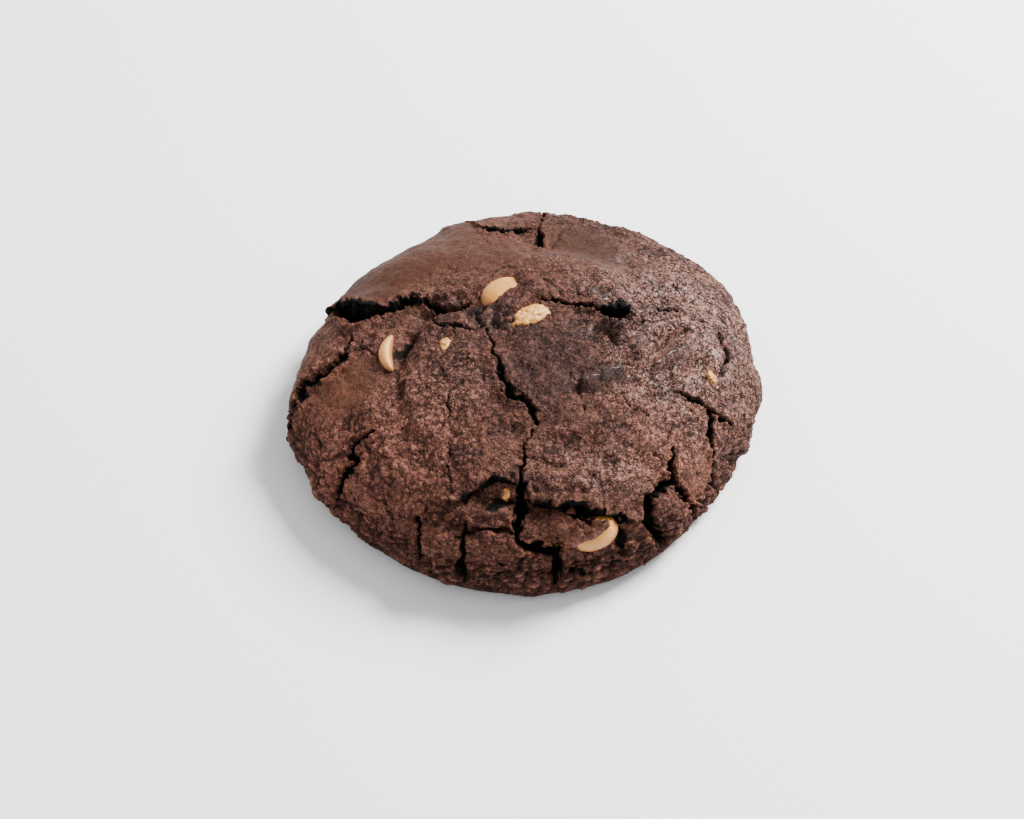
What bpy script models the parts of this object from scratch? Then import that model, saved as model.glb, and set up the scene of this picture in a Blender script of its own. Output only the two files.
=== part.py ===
"""A chocolate peanut cookie: one baked body with its crags and cracks, and the peanuts set in it.

The origin is at the middle of the base, +Z up, and the cookie's front is towards -Y.
Run it with blender --background --python part.py, or from the text editor.
"""

import math
from dataclasses import dataclass

import bmesh
import bpy
import numpy as np
from mathutils import Matrix, Vector

MM = 0.001


def mm(*values):
    """Lengths in metres, from values in millimetres."""
    return tuple(value * MM for value in values)


def rows(*points):
    """Rows of lengths in metres, from rows in millimetres."""
    return tuple(mm(*point) for point in points)


# Driving sizes of the body
RIM_RADII = mm(51.9, 53.5, 53.7, 51.3, 51.6, 49.1, 48.4, 48.8, 51.8, 53, 51.6, 52, 51.9, 51.7, 49.8, 50)
DOME_HEIGHT = 29 * MM
EDGE_HEIGHT = 7.5 * MM
FOOT_INSET = 3.5 * MM
CROWN_FALL = 2.2
CROWN_ROUND = 1.65

# How finely the body is made, and the shares of its faces down to the rim and down to the foot
BALL_SUBDIVISIONS = 7
FACE_SHARE_KEPT = 0.1
TOP_SHARE = 0.80
WALL_SHARE = 0.91

# Height over which the unevenness dies away towards the flat foot, and the wall's tilt there
FOOT_FADE = 3.0 * MM
UNDERCUT_TILT = 0.5

# Room between a peanut and its pocket
POCKET_GAP = 0.4 * MM


@dataclass(frozen=True)
class Lump:
    """A rounded swelling, or a hollow where its height is negative."""

    name: str
    place: tuple
    reach: tuple
    turn: float
    height: float
    firmness: float = 1.0


@dataclass(frozen=True)
class Valley:
    """A soft furrow along a path in plan, or a ridge where its depth is negative."""

    name: str
    path: tuple
    reach: float
    depth: float


@dataclass(frozen=True)
class Crack:
    """An open crack: rows of x, y and width, its depth, and how its left side differs."""

    name: str
    path: tuple
    depth: float
    step: float = 0.0
    overhang: float = 0.0


@dataclass(frozen=True)
class Peanut:
    """A piece of peanut: its place in plan, its middle's rise over the crust, half sizes and bend."""

    name: str
    place: tuple
    rise: float
    half: tuple
    turn: float
    bend: float = 0.0
    subdivisions: int = 3


LUMPS = (
    Lump("left hump", mm(-16, -16), mm(12, 12), 0, 1.3 * MM),
    Lump("back hump", mm(6, 17), mm(18, 9), -18, 1.6 * MM),
    Lump("right plate", mm(33, 1), mm(9, 7), 25, 1.1 * MM),
    Lump("front ridge", mm(13, -37.4), mm(10.5, 3), 3, 2.4 * MM),
    Lump("front left lobe", mm(-9, -32), mm(8, 4), 10, 1.0 * MM),
    Lump("front right swelling", mm(25, -26), mm(8, 7), 0, 0.7 * MM),
    Lump("back left slab", mm(-27, 25), mm(18, 9), 42, 1.4 * MM),
    Lump("back right slab", mm(17, 40), mm(15, 6), -22, 1.6 * MM),
    Lump("chunk under the crust", mm(17, -9), mm(5.5, 2.2), 35, 1.1 * MM),
    Lump("chunk by the hole", mm(18, 1.5), mm(3.2, 2.6), 0, 1.2 * MM),
    Lump("front left lip", mm(-20, -46), mm(4, 2.6), 10, 1.0 * MM),
    Lump("left slab", mm(-46.5, 10), mm(6, 7), 0, 1.2 * MM),
    Lump("back knob", mm(-16, 43), mm(3.5, 3.5), 0, 1.2 * MM),
    Lump("right block", mm(34, -28), mm(4, 4), 0, 0.8 * MM),
    Lump("broken corner", mm(30.5, -37), mm(3.5, 3), 0, 0.9 * MM),
    Lump("front block", mm(-8, -42), mm(6, 2.4), 0, 0.9 * MM),
    Lump("shelf before the ridge", mm(6, -44.6), mm(5, 2.6), 0, 0.9 * MM),
    Lump("dent by the tear", mm(-48.5, 26), mm(4, 4), 0, -1.5 * MM),
    Lump("dent at the back right", mm(27, 44), mm(6, 4), -32, -1.1 * MM),
)

VALLEYS = (
    Valley("foot of the left hump", rows((-22.5, 5.5), (-25.3, 1), (-28, -4.5), (-28.8, -10),
                                         (-28, -17), (-26, -24)),
           3.0 * MM, 1.2 * MM),
    Valley("smooth back valley", rows((3, 29), (12, 27.5), (20, 23), (27, 15)), 4.5 * MM, 1.6 * MM),
    Valley("under the front ridge", rows((1, -41), (8, -41.8), (16, -41)), 1.6 * MM, 1.3 * MM),
    Valley("front left recess", rows((-13, -39.3), (-8, -40), (-4, -40.4)), 2.0 * MM, 1.6 * MM),
    Valley("rough pit by the peanuts", rows((-10.5, 2), (-6, 3)), 2.8 * MM, 1.3 * MM),
    Valley("pit right of the left peanut", rows((-26.9, -2.4), (-25.4, 0.2)), 1.7 * MM, 2.0 * MM),
    Valley("hollow before the ridge", rows((0, -29), (5, -30.5), (13, -28)), 3.2 * MM, 1.2 * MM),
    Valley("foot of the right plate", rows((42.5, 5), (43.5, 0), (42.5, -4), (40.5, -4.5)),
           1.2 * MM, 0.8 * MM),
    Valley("glossy pit of the tear", rows((-20, 8), (-14, 7.5)), 2.2 * MM, 1.9 * MM),
    Valley("hollow of the right plate", rows((30, -8), (35, -5), (38, -3)), 2.4 * MM, 0.9 * MM),
    Valley("pit by the chunk", rows((19, -0.8), (20.1, -2.3)), 1.1 * MM, 1.9 * MM),
    Valley("handle of the chunk", rows((17, 2.4), (20.6, 1.6), (22.8, -0.6), (23.4, -3), (22.8, -5.5)),
           1.0 * MM, -0.9 * MM),
    Valley("glossy streak", rows((12, -14), (15.7, -12.7), (20.8, -10.3)), 1.0 * MM, -0.7 * MM),
    Valley("furrow above the streak", rows((11.6, -12), (14, -11.2), (18.6, -9.3)), 0.8 * MM, 0.8 * MM),
    Valley("fold on the right", rows((25.6, -6.2), (30.3, -1.4), (34.8, 3.4)), 1.1 * MM, 1.0 * MM),
    Valley("gap round the front peanut", rows((18, -46.8), (12, -48.2)), 1.3 * MM, 1.0 * MM),
    Valley("pit right of the front peanut", rows((19.8, -43.8), (20, -46)), 1.5 * MM, 2.2 * MM),
    Valley("right rim groove", rows((44, 24), (46.5, 17), (47.5, 11)), 1.0 * MM, 0.9 * MM),
)

CRACKS = (
    Crack("back left tear",
          rows((-50.5, 28.8, 1.4), (-45, 22, 2), (-40.5, 16.2, 3.7), (-36.7, 10.9, 5.2),
               (-33.5, 10.4, 3.7), (-30, 10.2, 2.9), (-26.2, 11.2, 2.6), (-21.8, 11.3, 2)),
          6.5 * MM, 1.6 * MM, 1.4 * MM),
    Crack("end of the tear",
          rows((-21.5, 11.5, 1.4), (-19, 8.8, 1.8), (-16, 7.6, 1.8), (-13, 9.2, 0.9)),
          3.0 * MM),
    Crack("hump crack", rows((-20, 8, 1), (-20.5, 4.5, 0.9), (-19, 2, 0.8), (-14, 1, 1), (-9, 0.5, 1)),
          1.4 * MM),
    Crack("left crack",
          rows((-38.6, 4.2, 1), (-39.1, 0.8, 1.9), (-39.6, -1.3, 2.4), (-41.6, -2.9, 2.9),
               (-43.8, -4.4, 3.5), (-46.2, -4.3, 3.3), (-48.2, -4.4, 2.9), (-48.6, -7.3, 3),
               (-50.9, -10.4, 2.8), (-56, -12.3, 2)),
          5.0 * MM, 0.6 * MM, 0.4 * MM),
    Crack("lower left crack",
          rows((-33, -22.5, 0.8), (-36, -23.5, 1.5), (-37.5, -25.5, 1.2), (-35.5, -27, 1.3),
               (-39, -28, 1.6), (-40, -30.5, 1.2), (-43, -33.5, 0.7)),
          2.5 * MM),
    Crack("front left crack",
          rows((-22.6, -41, 0.7), (-22.8, -44, 1.1), (-22, -47.5, 1.1), (-22, -51, 0.6)),
          2.0 * MM),
    Crack("front crack",
          rows((1.5, -26, 0.3), (0, -30, 0.35), (-0.5, -34, 0.6), (-1.5, -38, 1.8), (-1.5, -43, 2.2),
               (-2, -46.8, 1.9), (1.5, -48.2, 1.5), (6, -48.6, 1.3)),
          3.6 * MM),
    Crack("front gap", rows((6.5, -48, 2.2), (7, -50.5, 2.6), (7, -56, 2)), 3.6 * MM),
    Crack("under the front ridge",
          rows((-0.3, -39.8, 0.9), (3.9, -40.3, 1.3), (7.4, -40.8, 1.7), (10.1, -41.9, 2.2),
               (13.2, -41.8, 2.4), (16.4, -41.6, 2.4), (19, -41.4, 1.8), (21.5, -41.2, 0.7)),
          2.6 * MM, 0.8 * MM, 1.0 * MM),
    Crack("lip of the front left recess",
          rows((-15.5, -39.2, 0.3), (-12.5, -39, 0.4), (-9.5, -38, 0.6), (-6.8, -36.3, 1.6),
               (-3.8, -36.1, 1.5), (-2, -37.2, 0.8)),
          1.5 * MM, 0.8 * MM, 0.6 * MM),
    Crack("centre crack",
          rows((-8, -1, 0.5), (-7.5, -7, 0.6), (-6, -11.5, 0.9), (-4, -15, 1.4), (-3, -18, 1.5),
               (0.1, -19.3, 1.2), (1.9, -21.6, 2), (2.2, -24, 0.6)),
          1.9 * MM),
    Crack("crack to the hole", rows((3.6, 7.9, 0.5), (9, 7.1, 0.7), (13, 6.4, 0.9), (16, 5.6, 1.6)),
          1.9 * MM, 0.5 * MM),
    Crack("deep hole", rows((16.4, 5.3, 2.2), (18.4, 5, 3.8), (20, 4.9, 4.8)),
          6.0 * MM, 0.6 * MM, 0.5 * MM),
    Crack("right long crack",
          rows((24, 10.5, 0.5), (27.9, 9.3, 0.7), (30.5, 8.5, 0.8), (34.3, 8.8, 0.8), (38.1, 8.2, 0.9),
               (40.6, 7.9, 0.9), (43, 6.4, 0.8)),
          1.3 * MM),
    Crack("ring crack", rows((43, 6.4, 0.7), (44.2, 3, 0.9), (43.9, 0, 1.1), (42.2, -4.6, 0.5)),
          1.5 * MM),
    Crack("right crack",
          rows((33, -12.3, 0.7), (36.5, -13.4, 1.3), (40, -14.3, 1.5), (43.5, -15.5, 0.8)),
          2.3 * MM, 0.4 * MM),
    Crack("right side crack",
          rows((39.7, -15, 1), (40.1, -19, 0.9), (39.5, -23, 1), (40.2, -27.5, 1.1), (42, -32, 0.8)),
          1.9 * MM),
    Crack("corner crack",
          rows((31.8, -24.8, 0.5), (31, -28, 1), (30.2, -30.5, 1.5), (32.3, -32.5, 1.5),
               (36, -34.8, 1.4), (41, -38, 0.9)),
          3.0 * MM),
    Crack("corner gap",
          rows((30.2, -32.2, 1.4), (27.4, -34.5, 1.2), (26, -36.6, 1.5), (25.4, -38.6, 1.8),
               (25, -40.6, 2.5), (27, -41.7, 2.9), (29.8, -41.9, 3), (33, -43.8, 2.1)),
          3.2 * MM),
    Crack("front rim crack",
          rows((-12.7, -44, 0.6), (-13.5, -46.5, 1.1), (-13.6, -49.5, 1.2), (-13.6, -53, 0.7)),
          2.0 * MM),
    Crack("front cross crack", rows((-15, -45, 0.5), (-9, -45, 0.6), (-3, -45.2, 0.6)), 0.8 * MM),
    Crack("tear under the back flap",
          rows((-9.5, 37.8, 0.9), (-8, 36, 2), (-4, 34.7, 2.6), (0, 36, 1.6)),
          2.8 * MM, 1.0 * MM, 0.8 * MM),
    Crack("back crack",
          rows((4.8, 55, 0.6), (4.2, 47, 0.6), (3.6, 42, 0.8), (3, 36.5, 0.9), (2.7, 33, 1.8),
               (2.8, 30.8, 2.6), (2.9, 29.2, 1.6)),
          2.6 * MM),
    Crack("front rim split",
          rows((9.5, -51, 0.7), (14, -50.6, 1.1), (18, -49.4, 1), (23.5, -46.6, 0.7)),
          1.4 * MM),
)

# Crust that runs over part of a peanut
COVERS = (
    Lump("over the back left peanut", mm(-3.6, 6.4), mm(7.5, 3), 33, 2.0 * MM, 4.0),
    Lump("over the back left peanut's end", mm(0.5, 13), mm(2.6, 2.8), 0, 1.8 * MM, 3.0),
    Lump("over the back right peanut's end", mm(-3.7, 3.4), mm(3.2, 2.5), 55, 1.5 * MM, 3.0),
    Lump("over the front peanut", mm(11.9, -43.6), mm(5.9, 3.5), 18, 2.9 * MM, 4.0),
)

PEANUTS = (
    Peanut("peanut_back_left", mm(-4.3, 10.5), -1.0 * MM, mm(5.8, 4.8, 2.7), 34),
    Peanut("peanut_back_right", mm(0.8, 3.4), -0.8 * MM, mm(5.5, 3.2, 2.1), 30),
    Peanut("peanut_left", mm(-30.2, -3.6), 0.0 * MM, mm(5.2, 1.5, 1.7), 91, 2.2 * MM),
    Peanut("peanut_front", mm(13.9, -44.6), -0.7 * MM, mm(5.6, 4.2, 2.8), 20),
    Peanut("peanut_chip_centre", mm(-17.2, -4.3), -0.2 * MM, mm(2, 1.4, 1), 82, 0, 2),
    Peanut("peanut_chip_front", mm(-4.1, -38.7), -0.4 * MM, mm(1.6, 1.2, 1.1), 70, 0, 2),
    Peanut("peanut_chip_right", mm(40.1, -6.2), -0.2 * MM, mm(1.8, 1.3, 1), -55, 0, 2),
)

# Uneven surface: wavelength and height of each layer of unevenness
ROUGHNESS = rows((14, 0.55), (6.5, 0.35), (3.2, 0.18))
RIM_ROUGHNESS = rows((7, 0.7), (3.5, 0.45))
JAGGEDNESS = rows((5, 0.7), (2.2, 0.45))
RIM_BAND = mm(41.5, 52)

# A crack across its width: where the wall starts and ends and the lip stands, in half widths
WALL_TOP = 1.2
WALL_BOTTOM = 0.5
LIP_PLACE = 1.4

# How far a lip rises for its crack's width, and how far the crust round it sinks, steps and leans
LIP_RISE = 0.22
LIP_REACH = 1.1 * MM
PLATE_FALL = 0.25 * MM
PLATE_REACH = 3.0 * MM
STEP_REACH = 7.0 * MM


def remove_everything():
    """Start from an empty scene."""
    for item in list(bpy.data.objects):
        bpy.data.objects.remove(item)


def material(name, colour, roughness):
    """A plain baked or roasted finish."""
    made = bpy.data.materials.new(name)
    made.use_nodes = True
    shader = made.node_tree.nodes["Principled BSDF"]
    shader.inputs["Base Color"].default_value = (*colour, 1)
    shader.inputs["Roughness"].default_value = roughness
    shader.inputs["Metallic"].default_value = 0
    return made


def lattice_value(column, row, layer, seed):
    """A repeatable value from -1 to 1 at each point of a lattice."""
    mixed = (column * 374761393 + row * 668265263 + layer * 974634777 + seed * 144269) & 0xFFFFFFFF
    mixed = ((mixed ^ (mixed >> 13)) * 1274126177) & 0xFFFFFFFF
    mixed = mixed ^ (mixed >> 16)
    return (mixed & 0xFFFFFF) / 0x7FFFFF - 1


def noise(points, wavelength, seed):
    """Smooth repeatable unevenness from -1 to 1 over 3-D points."""
    scaled = points / wavelength
    low = np.floor(scaled).astype(np.int64)
    part = scaled - low
    ease = part * part * part * (part * (part * 6 - 15) + 10)
    total = np.zeros(len(points))
    for corner in range(8):
        step = np.array((corner & 1, corner >> 1 & 1, corner >> 2 & 1))
        share = np.prod(np.where(step == 1, ease, 1 - ease), axis=1)
        cell = low + step
        total += share * lattice_value(cell[:, 0], cell[:, 1], cell[:, 2], seed)
    return total


def smoothstep(low, high, values):
    """0 below low, 1 above high, and an eased rise between."""
    part = np.clip((values - low) / (high - low), 0, 1)
    return part * part * (3 - 2 * part)


def rim_radius(angle):
    """The rim's radius at each angle, a smooth closed curve through the stations."""
    waves = np.fft.rfft(RIM_RADII) / len(RIM_RADII)
    radius = np.full(np.shape(angle), waves[0].real)
    for order in range(1, len(waves)):
        weight = 1 if order == len(RIM_RADII) / 2 else 2
        turn = order * angle
        radius = radius + weight * (waves[order].real * np.cos(turn) - waves[order].imag * np.sin(turn))
    return radius


def dome_profile(share):
    """Height of the bare dome at a share of the rim radius."""
    return EDGE_HEIGHT + (DOME_HEIGHT - EDGE_HEIGHT) * (1 - share**CROWN_FALL) ** (1 / CROWN_ROUND)


def bare_body(ball):
    """The bare body's points, their outward normals and their places on the flattened skin."""
    angle = np.arctan2(ball[:, 1], ball[:, 0])
    depth_share = (1 - ball[:, 2]) / 2
    radius = rim_radius(angle)
    top = np.clip(np.sqrt(depth_share / TOP_SHARE), 0, 1)
    wall = np.clip((depth_share - TOP_SHARE) / (WALL_SHARE - TOP_SHARE), 0, 1)
    foot = np.sqrt(np.clip((1 - depth_share) / (1 - WALL_SHARE), 0, 1))

    out = radius * top
    high = dome_profile(top)
    on_wall = depth_share > TOP_SHARE
    under = radius - FOOT_INSET + FOOT_INSET * np.sqrt(1 - wall**2)
    out = np.where(on_wall, under, out)
    high = np.where(on_wall, EDGE_HEIGHT * (1 - wall), high)
    on_foot = depth_share > WALL_SHARE
    out = np.where(on_foot, (radius - FOOT_INSET) * foot, out)
    high = np.where(on_foot, 0, high)

    nudge = 1e-3
    share = np.clip(top, nudge, 1 - nudge)
    slope = (dome_profile(share + nudge / 2) - dome_profile(share - nudge / 2)) / nudge / radius
    tilt = np.arctan2(-slope, 1)
    tilt = np.where(on_wall, math.pi / 2 + UNDERCUT_TILT * wall, tilt)
    normal = np.stack((np.sin(tilt) * np.cos(angle), np.sin(tilt) * np.sin(angle), np.cos(tilt)), 1)

    spread = np.where(on_wall, radius + EDGE_HEIGHT * wall, out)
    points = np.stack((out * np.cos(angle), out * np.sin(angle), high), 1)
    flat = np.stack((spread * np.cos(angle), spread * np.sin(angle)), 1)
    return points, normal, flat


def nearest_on_path(flat, path):
    """Signed distance to a path, left positive, the direction to its left, and the row's last value there."""
    distance = np.full(len(flat), np.inf)
    side = np.ones(len(flat))
    last = np.zeros(len(flat))
    leftward = np.zeros((len(flat), 2))
    for start, end in zip(path[:-1], path[1:]):
        first = np.array(start[:2])
        along = np.array(end[:2]) - first
        share = np.clip((flat - first) @ along / (along @ along), 0, 1)
        gap = flat - first - share[:, None] * along
        reach = np.hypot(gap[:, 0], gap[:, 1])
        near = reach < distance
        distance = np.where(near, reach, distance)
        side = np.where(near, np.sign(along[0] * gap[:, 1] - along[1] * gap[:, 0] + 1e-12), side)
        last = np.where(near, start[-1] + share * (end[-1] - start[-1]), last)
        left = np.array((-along[1], along[0])) / np.linalg.norm(along)
        leftward = np.where(near[:, None], left, leftward)
    return distance * side, leftward, last


def swelling(flat, lumps):
    """Height added by rounded lumps."""
    height = np.zeros(len(flat))
    for lump in lumps:
        turn = math.radians(lump.turn)
        gap = flat - np.array(lump.place)
        long = (gap[:, 0] * math.cos(turn) + gap[:, 1] * math.sin(turn)) / lump.reach[0]
        short = (gap[:, 1] * math.cos(turn) - gap[:, 0] * math.sin(turn)) / lump.reach[1]
        height += lump.height * np.exp(-((long**2 + short**2) ** lump.firmness))
    return height


def soft_relief(flat):
    """Height added by the swellings and taken by the furrows."""
    height = swelling(flat, LUMPS)
    for valley in VALLEYS:
        distance, _, _ = nearest_on_path(flat, valley.path)
        height -= valley.depth * np.exp(-((distance / valley.reach) ** 2))
    return height


def crack_relief(flat):
    """Height taken by the cracks with their lips and steps, and how far the lips lean over."""
    height = np.zeros(len(flat))
    lean = np.zeros((len(flat), 2))
    for crack in CRACKS:
        distance, leftward, width = nearest_on_path(flat, crack.path)
        away = np.abs(distance)
        half = width / 2
        widest = max(row[2] for row in crack.path)
        depth = crack.depth * np.sqrt(width / widest)
        height -= depth * smoothstep(WALL_TOP, WALL_BOTTOM, away / half)
        lip = np.exp(-(((away - LIP_PLACE * half) / LIP_REACH) ** 2))
        height += LIP_RISE * width * lip
        height -= PLATE_FALL * np.exp(-((away / PLATE_REACH) ** 2))
        height += crack.step / 2 * np.tanh(distance / half) * np.exp(-away / STEP_REACH)
        hang = crack.overhang * np.exp(-(((distance - half) / LIP_REACH) ** 2)) * (distance > 0)
        lean -= leftward * hang[:, None]
    return height, lean


def uneven(points, layers, seed):
    """The layers of unevenness added up."""
    return sum(size * noise(points, wave, seed + index) for index, (wave, size) in enumerate(layers))


def baked_surface(ball):
    """The body's finished points for the points of a unit ball."""
    points, normal, flat = bare_body(ball)
    covers = swelling(flat, COVERS)
    warp = np.stack((uneven(points, JAGGEDNESS, 11), uneven(points, JAGGEDNESS, 31)), 1)
    flat = flat + warp
    height = soft_relief(flat) + covers
    cut, lean = crack_relief(flat)
    height += cut + uneven(points, ROUGHNESS, 51)
    rim_nearness = smoothstep(*RIM_BAND, np.hypot(points[:, 0], points[:, 1]))
    height += rim_nearness * uneven(points, RIM_ROUGHNESS, 71)
    kept = smoothstep(0, FOOT_FADE, points[:, 2])
    finished = points + normal * (height * kept)[:, None]
    finished[:, :2] += lean * kept[:, None]
    finished[:, 2] = np.maximum(finished[:, 2], 0)
    return finished


def move_points(mesh, points):
    """Put a mesh's vertices at new points."""
    mesh.vertices.foreach_set("co", points.astype(np.float32).ravel())
    mesh.update()


def ball_mesh(name, subdivisions):
    """A unit ball of even triangles."""
    shape = bmesh.new()
    bmesh.ops.create_icosphere(shape, subdivisions=subdivisions, radius=1)
    mesh = bpy.data.meshes.new(name)
    shape.to_mesh(mesh)
    shape.free()
    return mesh


def mesh_points(mesh):
    """A mesh's vertices as an array."""
    points = np.empty(len(mesh.vertices) * 3, dtype=np.float32)
    mesh.vertices.foreach_get("co", points)
    return points.reshape(-1, 3).astype(float)


def add_object(name, mesh, finish):
    """An object shaded smooth, with its finish."""
    made = bpy.data.objects.new(name, mesh)
    bpy.context.collection.objects.link(made)
    mesh.materials.append(finish)
    mesh.shade_smooth()
    return made


def build_cookie(finish):
    """The baked body, with few faces where it is smooth and more along its cracks."""
    mesh = ball_mesh("cookie", BALL_SUBDIVISIONS)
    move_points(mesh, baked_surface(mesh_points(mesh)))
    cookie = add_object("cookie", mesh, finish)
    thin = cookie.modifiers.new("fewer faces", "DECIMATE")
    thin.ratio = FACE_SHARE_KEPT
    return cookie


def peanut_frame(peanut):
    """The placing of a peanut: its middle near the crust's level, its flat side along the crust."""
    x, y = peanut.place
    angle = math.atan2(y, x)
    share = math.hypot(x, y) / float(rim_radius(angle))
    nudge = 1e-3
    rise = dome_profile(share + nudge) - dome_profile(share - nudge)
    tilt = math.atan2(-rise, 2 * nudge * float(rim_radius(angle)))
    normal = Vector((math.sin(tilt) * math.cos(angle), math.sin(tilt) * math.sin(angle), math.cos(tilt)))
    long = Vector((math.cos(math.radians(peanut.turn)), math.sin(math.radians(peanut.turn)), 0))
    long = (long - normal * long.dot(normal)).normalized()
    short = normal.cross(long)
    crust = float(soft_relief(np.array(((x, y),)))[0])
    middle = Vector((x, y, dome_profile(share))) + normal * (crust + peanut.rise)
    frame = Matrix((long, short, normal)).transposed().to_4x4()
    return Matrix.Translation(middle) @ frame


def peanut_points(ball, peanut, grown):
    """A peanut's points: a bean, bent along its length and a little uneven."""
    half = np.array(peanut.half) + grown
    points = ball * half
    points[:, 1] -= peanut.bend * (ball[:, 0] ** 2)
    frame = np.array(peanut_frame(peanut))
    return points @ frame[:3, :3].T + frame[:3, 3]


def build_peanut(peanut, cookie, finish):
    """One peanut, and its pocket cut in the body."""
    mesh = ball_mesh(peanut.name, peanut.subdivisions)
    ball = mesh_points(mesh)
    move_points(mesh, peanut_points(ball, peanut, 0))
    made = add_object(peanut.name, mesh, finish)
    pocket_mesh = ball_mesh(peanut.name + "_pocket", peanut.subdivisions)
    move_points(pocket_mesh, peanut_points(ball, peanut, POCKET_GAP))
    pocket = add_object(peanut.name + "_pocket", pocket_mesh, finish)
    pocket.hide_render = True
    pocket.display_type = "WIRE"
    cut = cookie.modifiers.new(peanut.name, "BOOLEAN")
    cut.operation = "DIFFERENCE"
    cut.solver = "EXACT"
    cut.object = pocket
    return made


def build():
    """Make the whole cookie."""
    remove_everything()
    dough = material("baked_chocolate_dough", (0.085, 0.045, 0.034), 0.75)
    nut = material("roasted_peanut", (0.74, 0.46, 0.23), 0.45)
    cookie = build_cookie(dough)
    for peanut in PEANUTS:
        build_peanut(peanut, cookie, nut)


build()
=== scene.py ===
"""The looks of a chocolate peanut cookie: its baked crust, the peanuts in it, the floor, light and camera.

Lengths are metres. The origin is at the middle of the cookie's base, +Z up, the front towards -Y.
"""

import logging
import math
from dataclasses import dataclass
from enum import Enum, IntEnum
from typing import Any, Iterable, Sequence, Union

import bpy
import numpy as np
from mathutils import Matrix, Vector


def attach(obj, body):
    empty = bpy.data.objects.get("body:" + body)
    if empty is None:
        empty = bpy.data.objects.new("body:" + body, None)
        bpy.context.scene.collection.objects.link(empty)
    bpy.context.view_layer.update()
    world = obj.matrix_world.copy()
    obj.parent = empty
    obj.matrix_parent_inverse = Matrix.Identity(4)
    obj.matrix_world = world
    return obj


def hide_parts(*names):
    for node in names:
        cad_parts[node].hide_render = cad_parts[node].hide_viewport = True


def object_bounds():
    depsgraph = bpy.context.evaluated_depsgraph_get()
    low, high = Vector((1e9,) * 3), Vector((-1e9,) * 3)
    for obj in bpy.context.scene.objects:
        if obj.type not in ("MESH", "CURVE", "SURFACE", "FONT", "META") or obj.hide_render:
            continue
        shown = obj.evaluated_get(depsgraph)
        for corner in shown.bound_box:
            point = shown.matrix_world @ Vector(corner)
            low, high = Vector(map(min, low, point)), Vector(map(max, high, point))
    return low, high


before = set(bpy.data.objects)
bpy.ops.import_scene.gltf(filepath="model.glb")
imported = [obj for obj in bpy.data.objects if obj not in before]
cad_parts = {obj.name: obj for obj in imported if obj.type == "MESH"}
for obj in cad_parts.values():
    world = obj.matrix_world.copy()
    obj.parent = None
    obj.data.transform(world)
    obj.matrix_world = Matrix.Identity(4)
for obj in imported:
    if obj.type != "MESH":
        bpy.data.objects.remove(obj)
CAD_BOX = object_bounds()

LOG = logging.getLogger("cookie")
MM = 0.001
Array = np.ndarray
Numbers = tuple[float, ...]
Table = tuple[Numbers, ...]
Number = Union[int, float]


def mm(*values: Number) -> Numbers:
    """Lengths in metres, from values in millimetres."""
    return tuple(value * MM for value in values)


def rows(*points: Sequence[Number]) -> Table:
    """Rows of lengths in metres, from rows in millimetres."""
    return tuple(mm(*point) for point in points)


def smoothstep(low: float, high: float, values: Array) -> Array:
    """0 below low, 1 above high, and an eased rise between."""
    part = np.clip((values - low) / (high - low), 0, 1)
    return part * part * (3 - 2 * part)


class Seed(IntEnum):
    """Which of the many noises each kind of unevenness reads. Each further layer takes the next one."""

    JAGGED_X = 11
    JAGGED_Y = 31
    ROUGHNESS = 51
    RIM = 71
    FINE_X = 111
    FINE_Y = 131
    WOBBLE_X = 151
    WOBBLE_Y = 161
    WOBBLE_Z = 171
    JAGS = WOBBLE_Z
    LIP_CRUMBS = 181
    PLATES = 201
    SMALL_PLATES = 231
    CREASES = 241
    BLOCKS = 261
    STRENGTH = 301
    GRAINS = 321
    FOLD_WARP = 341
    FOLDS = 345
    SWELLS = 351
    WALL_X = 361
    WALL_Y = 371
    WALL_Z = 381
    NUT_SWELLS = 401
    NUT_PLATES = 421


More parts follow.
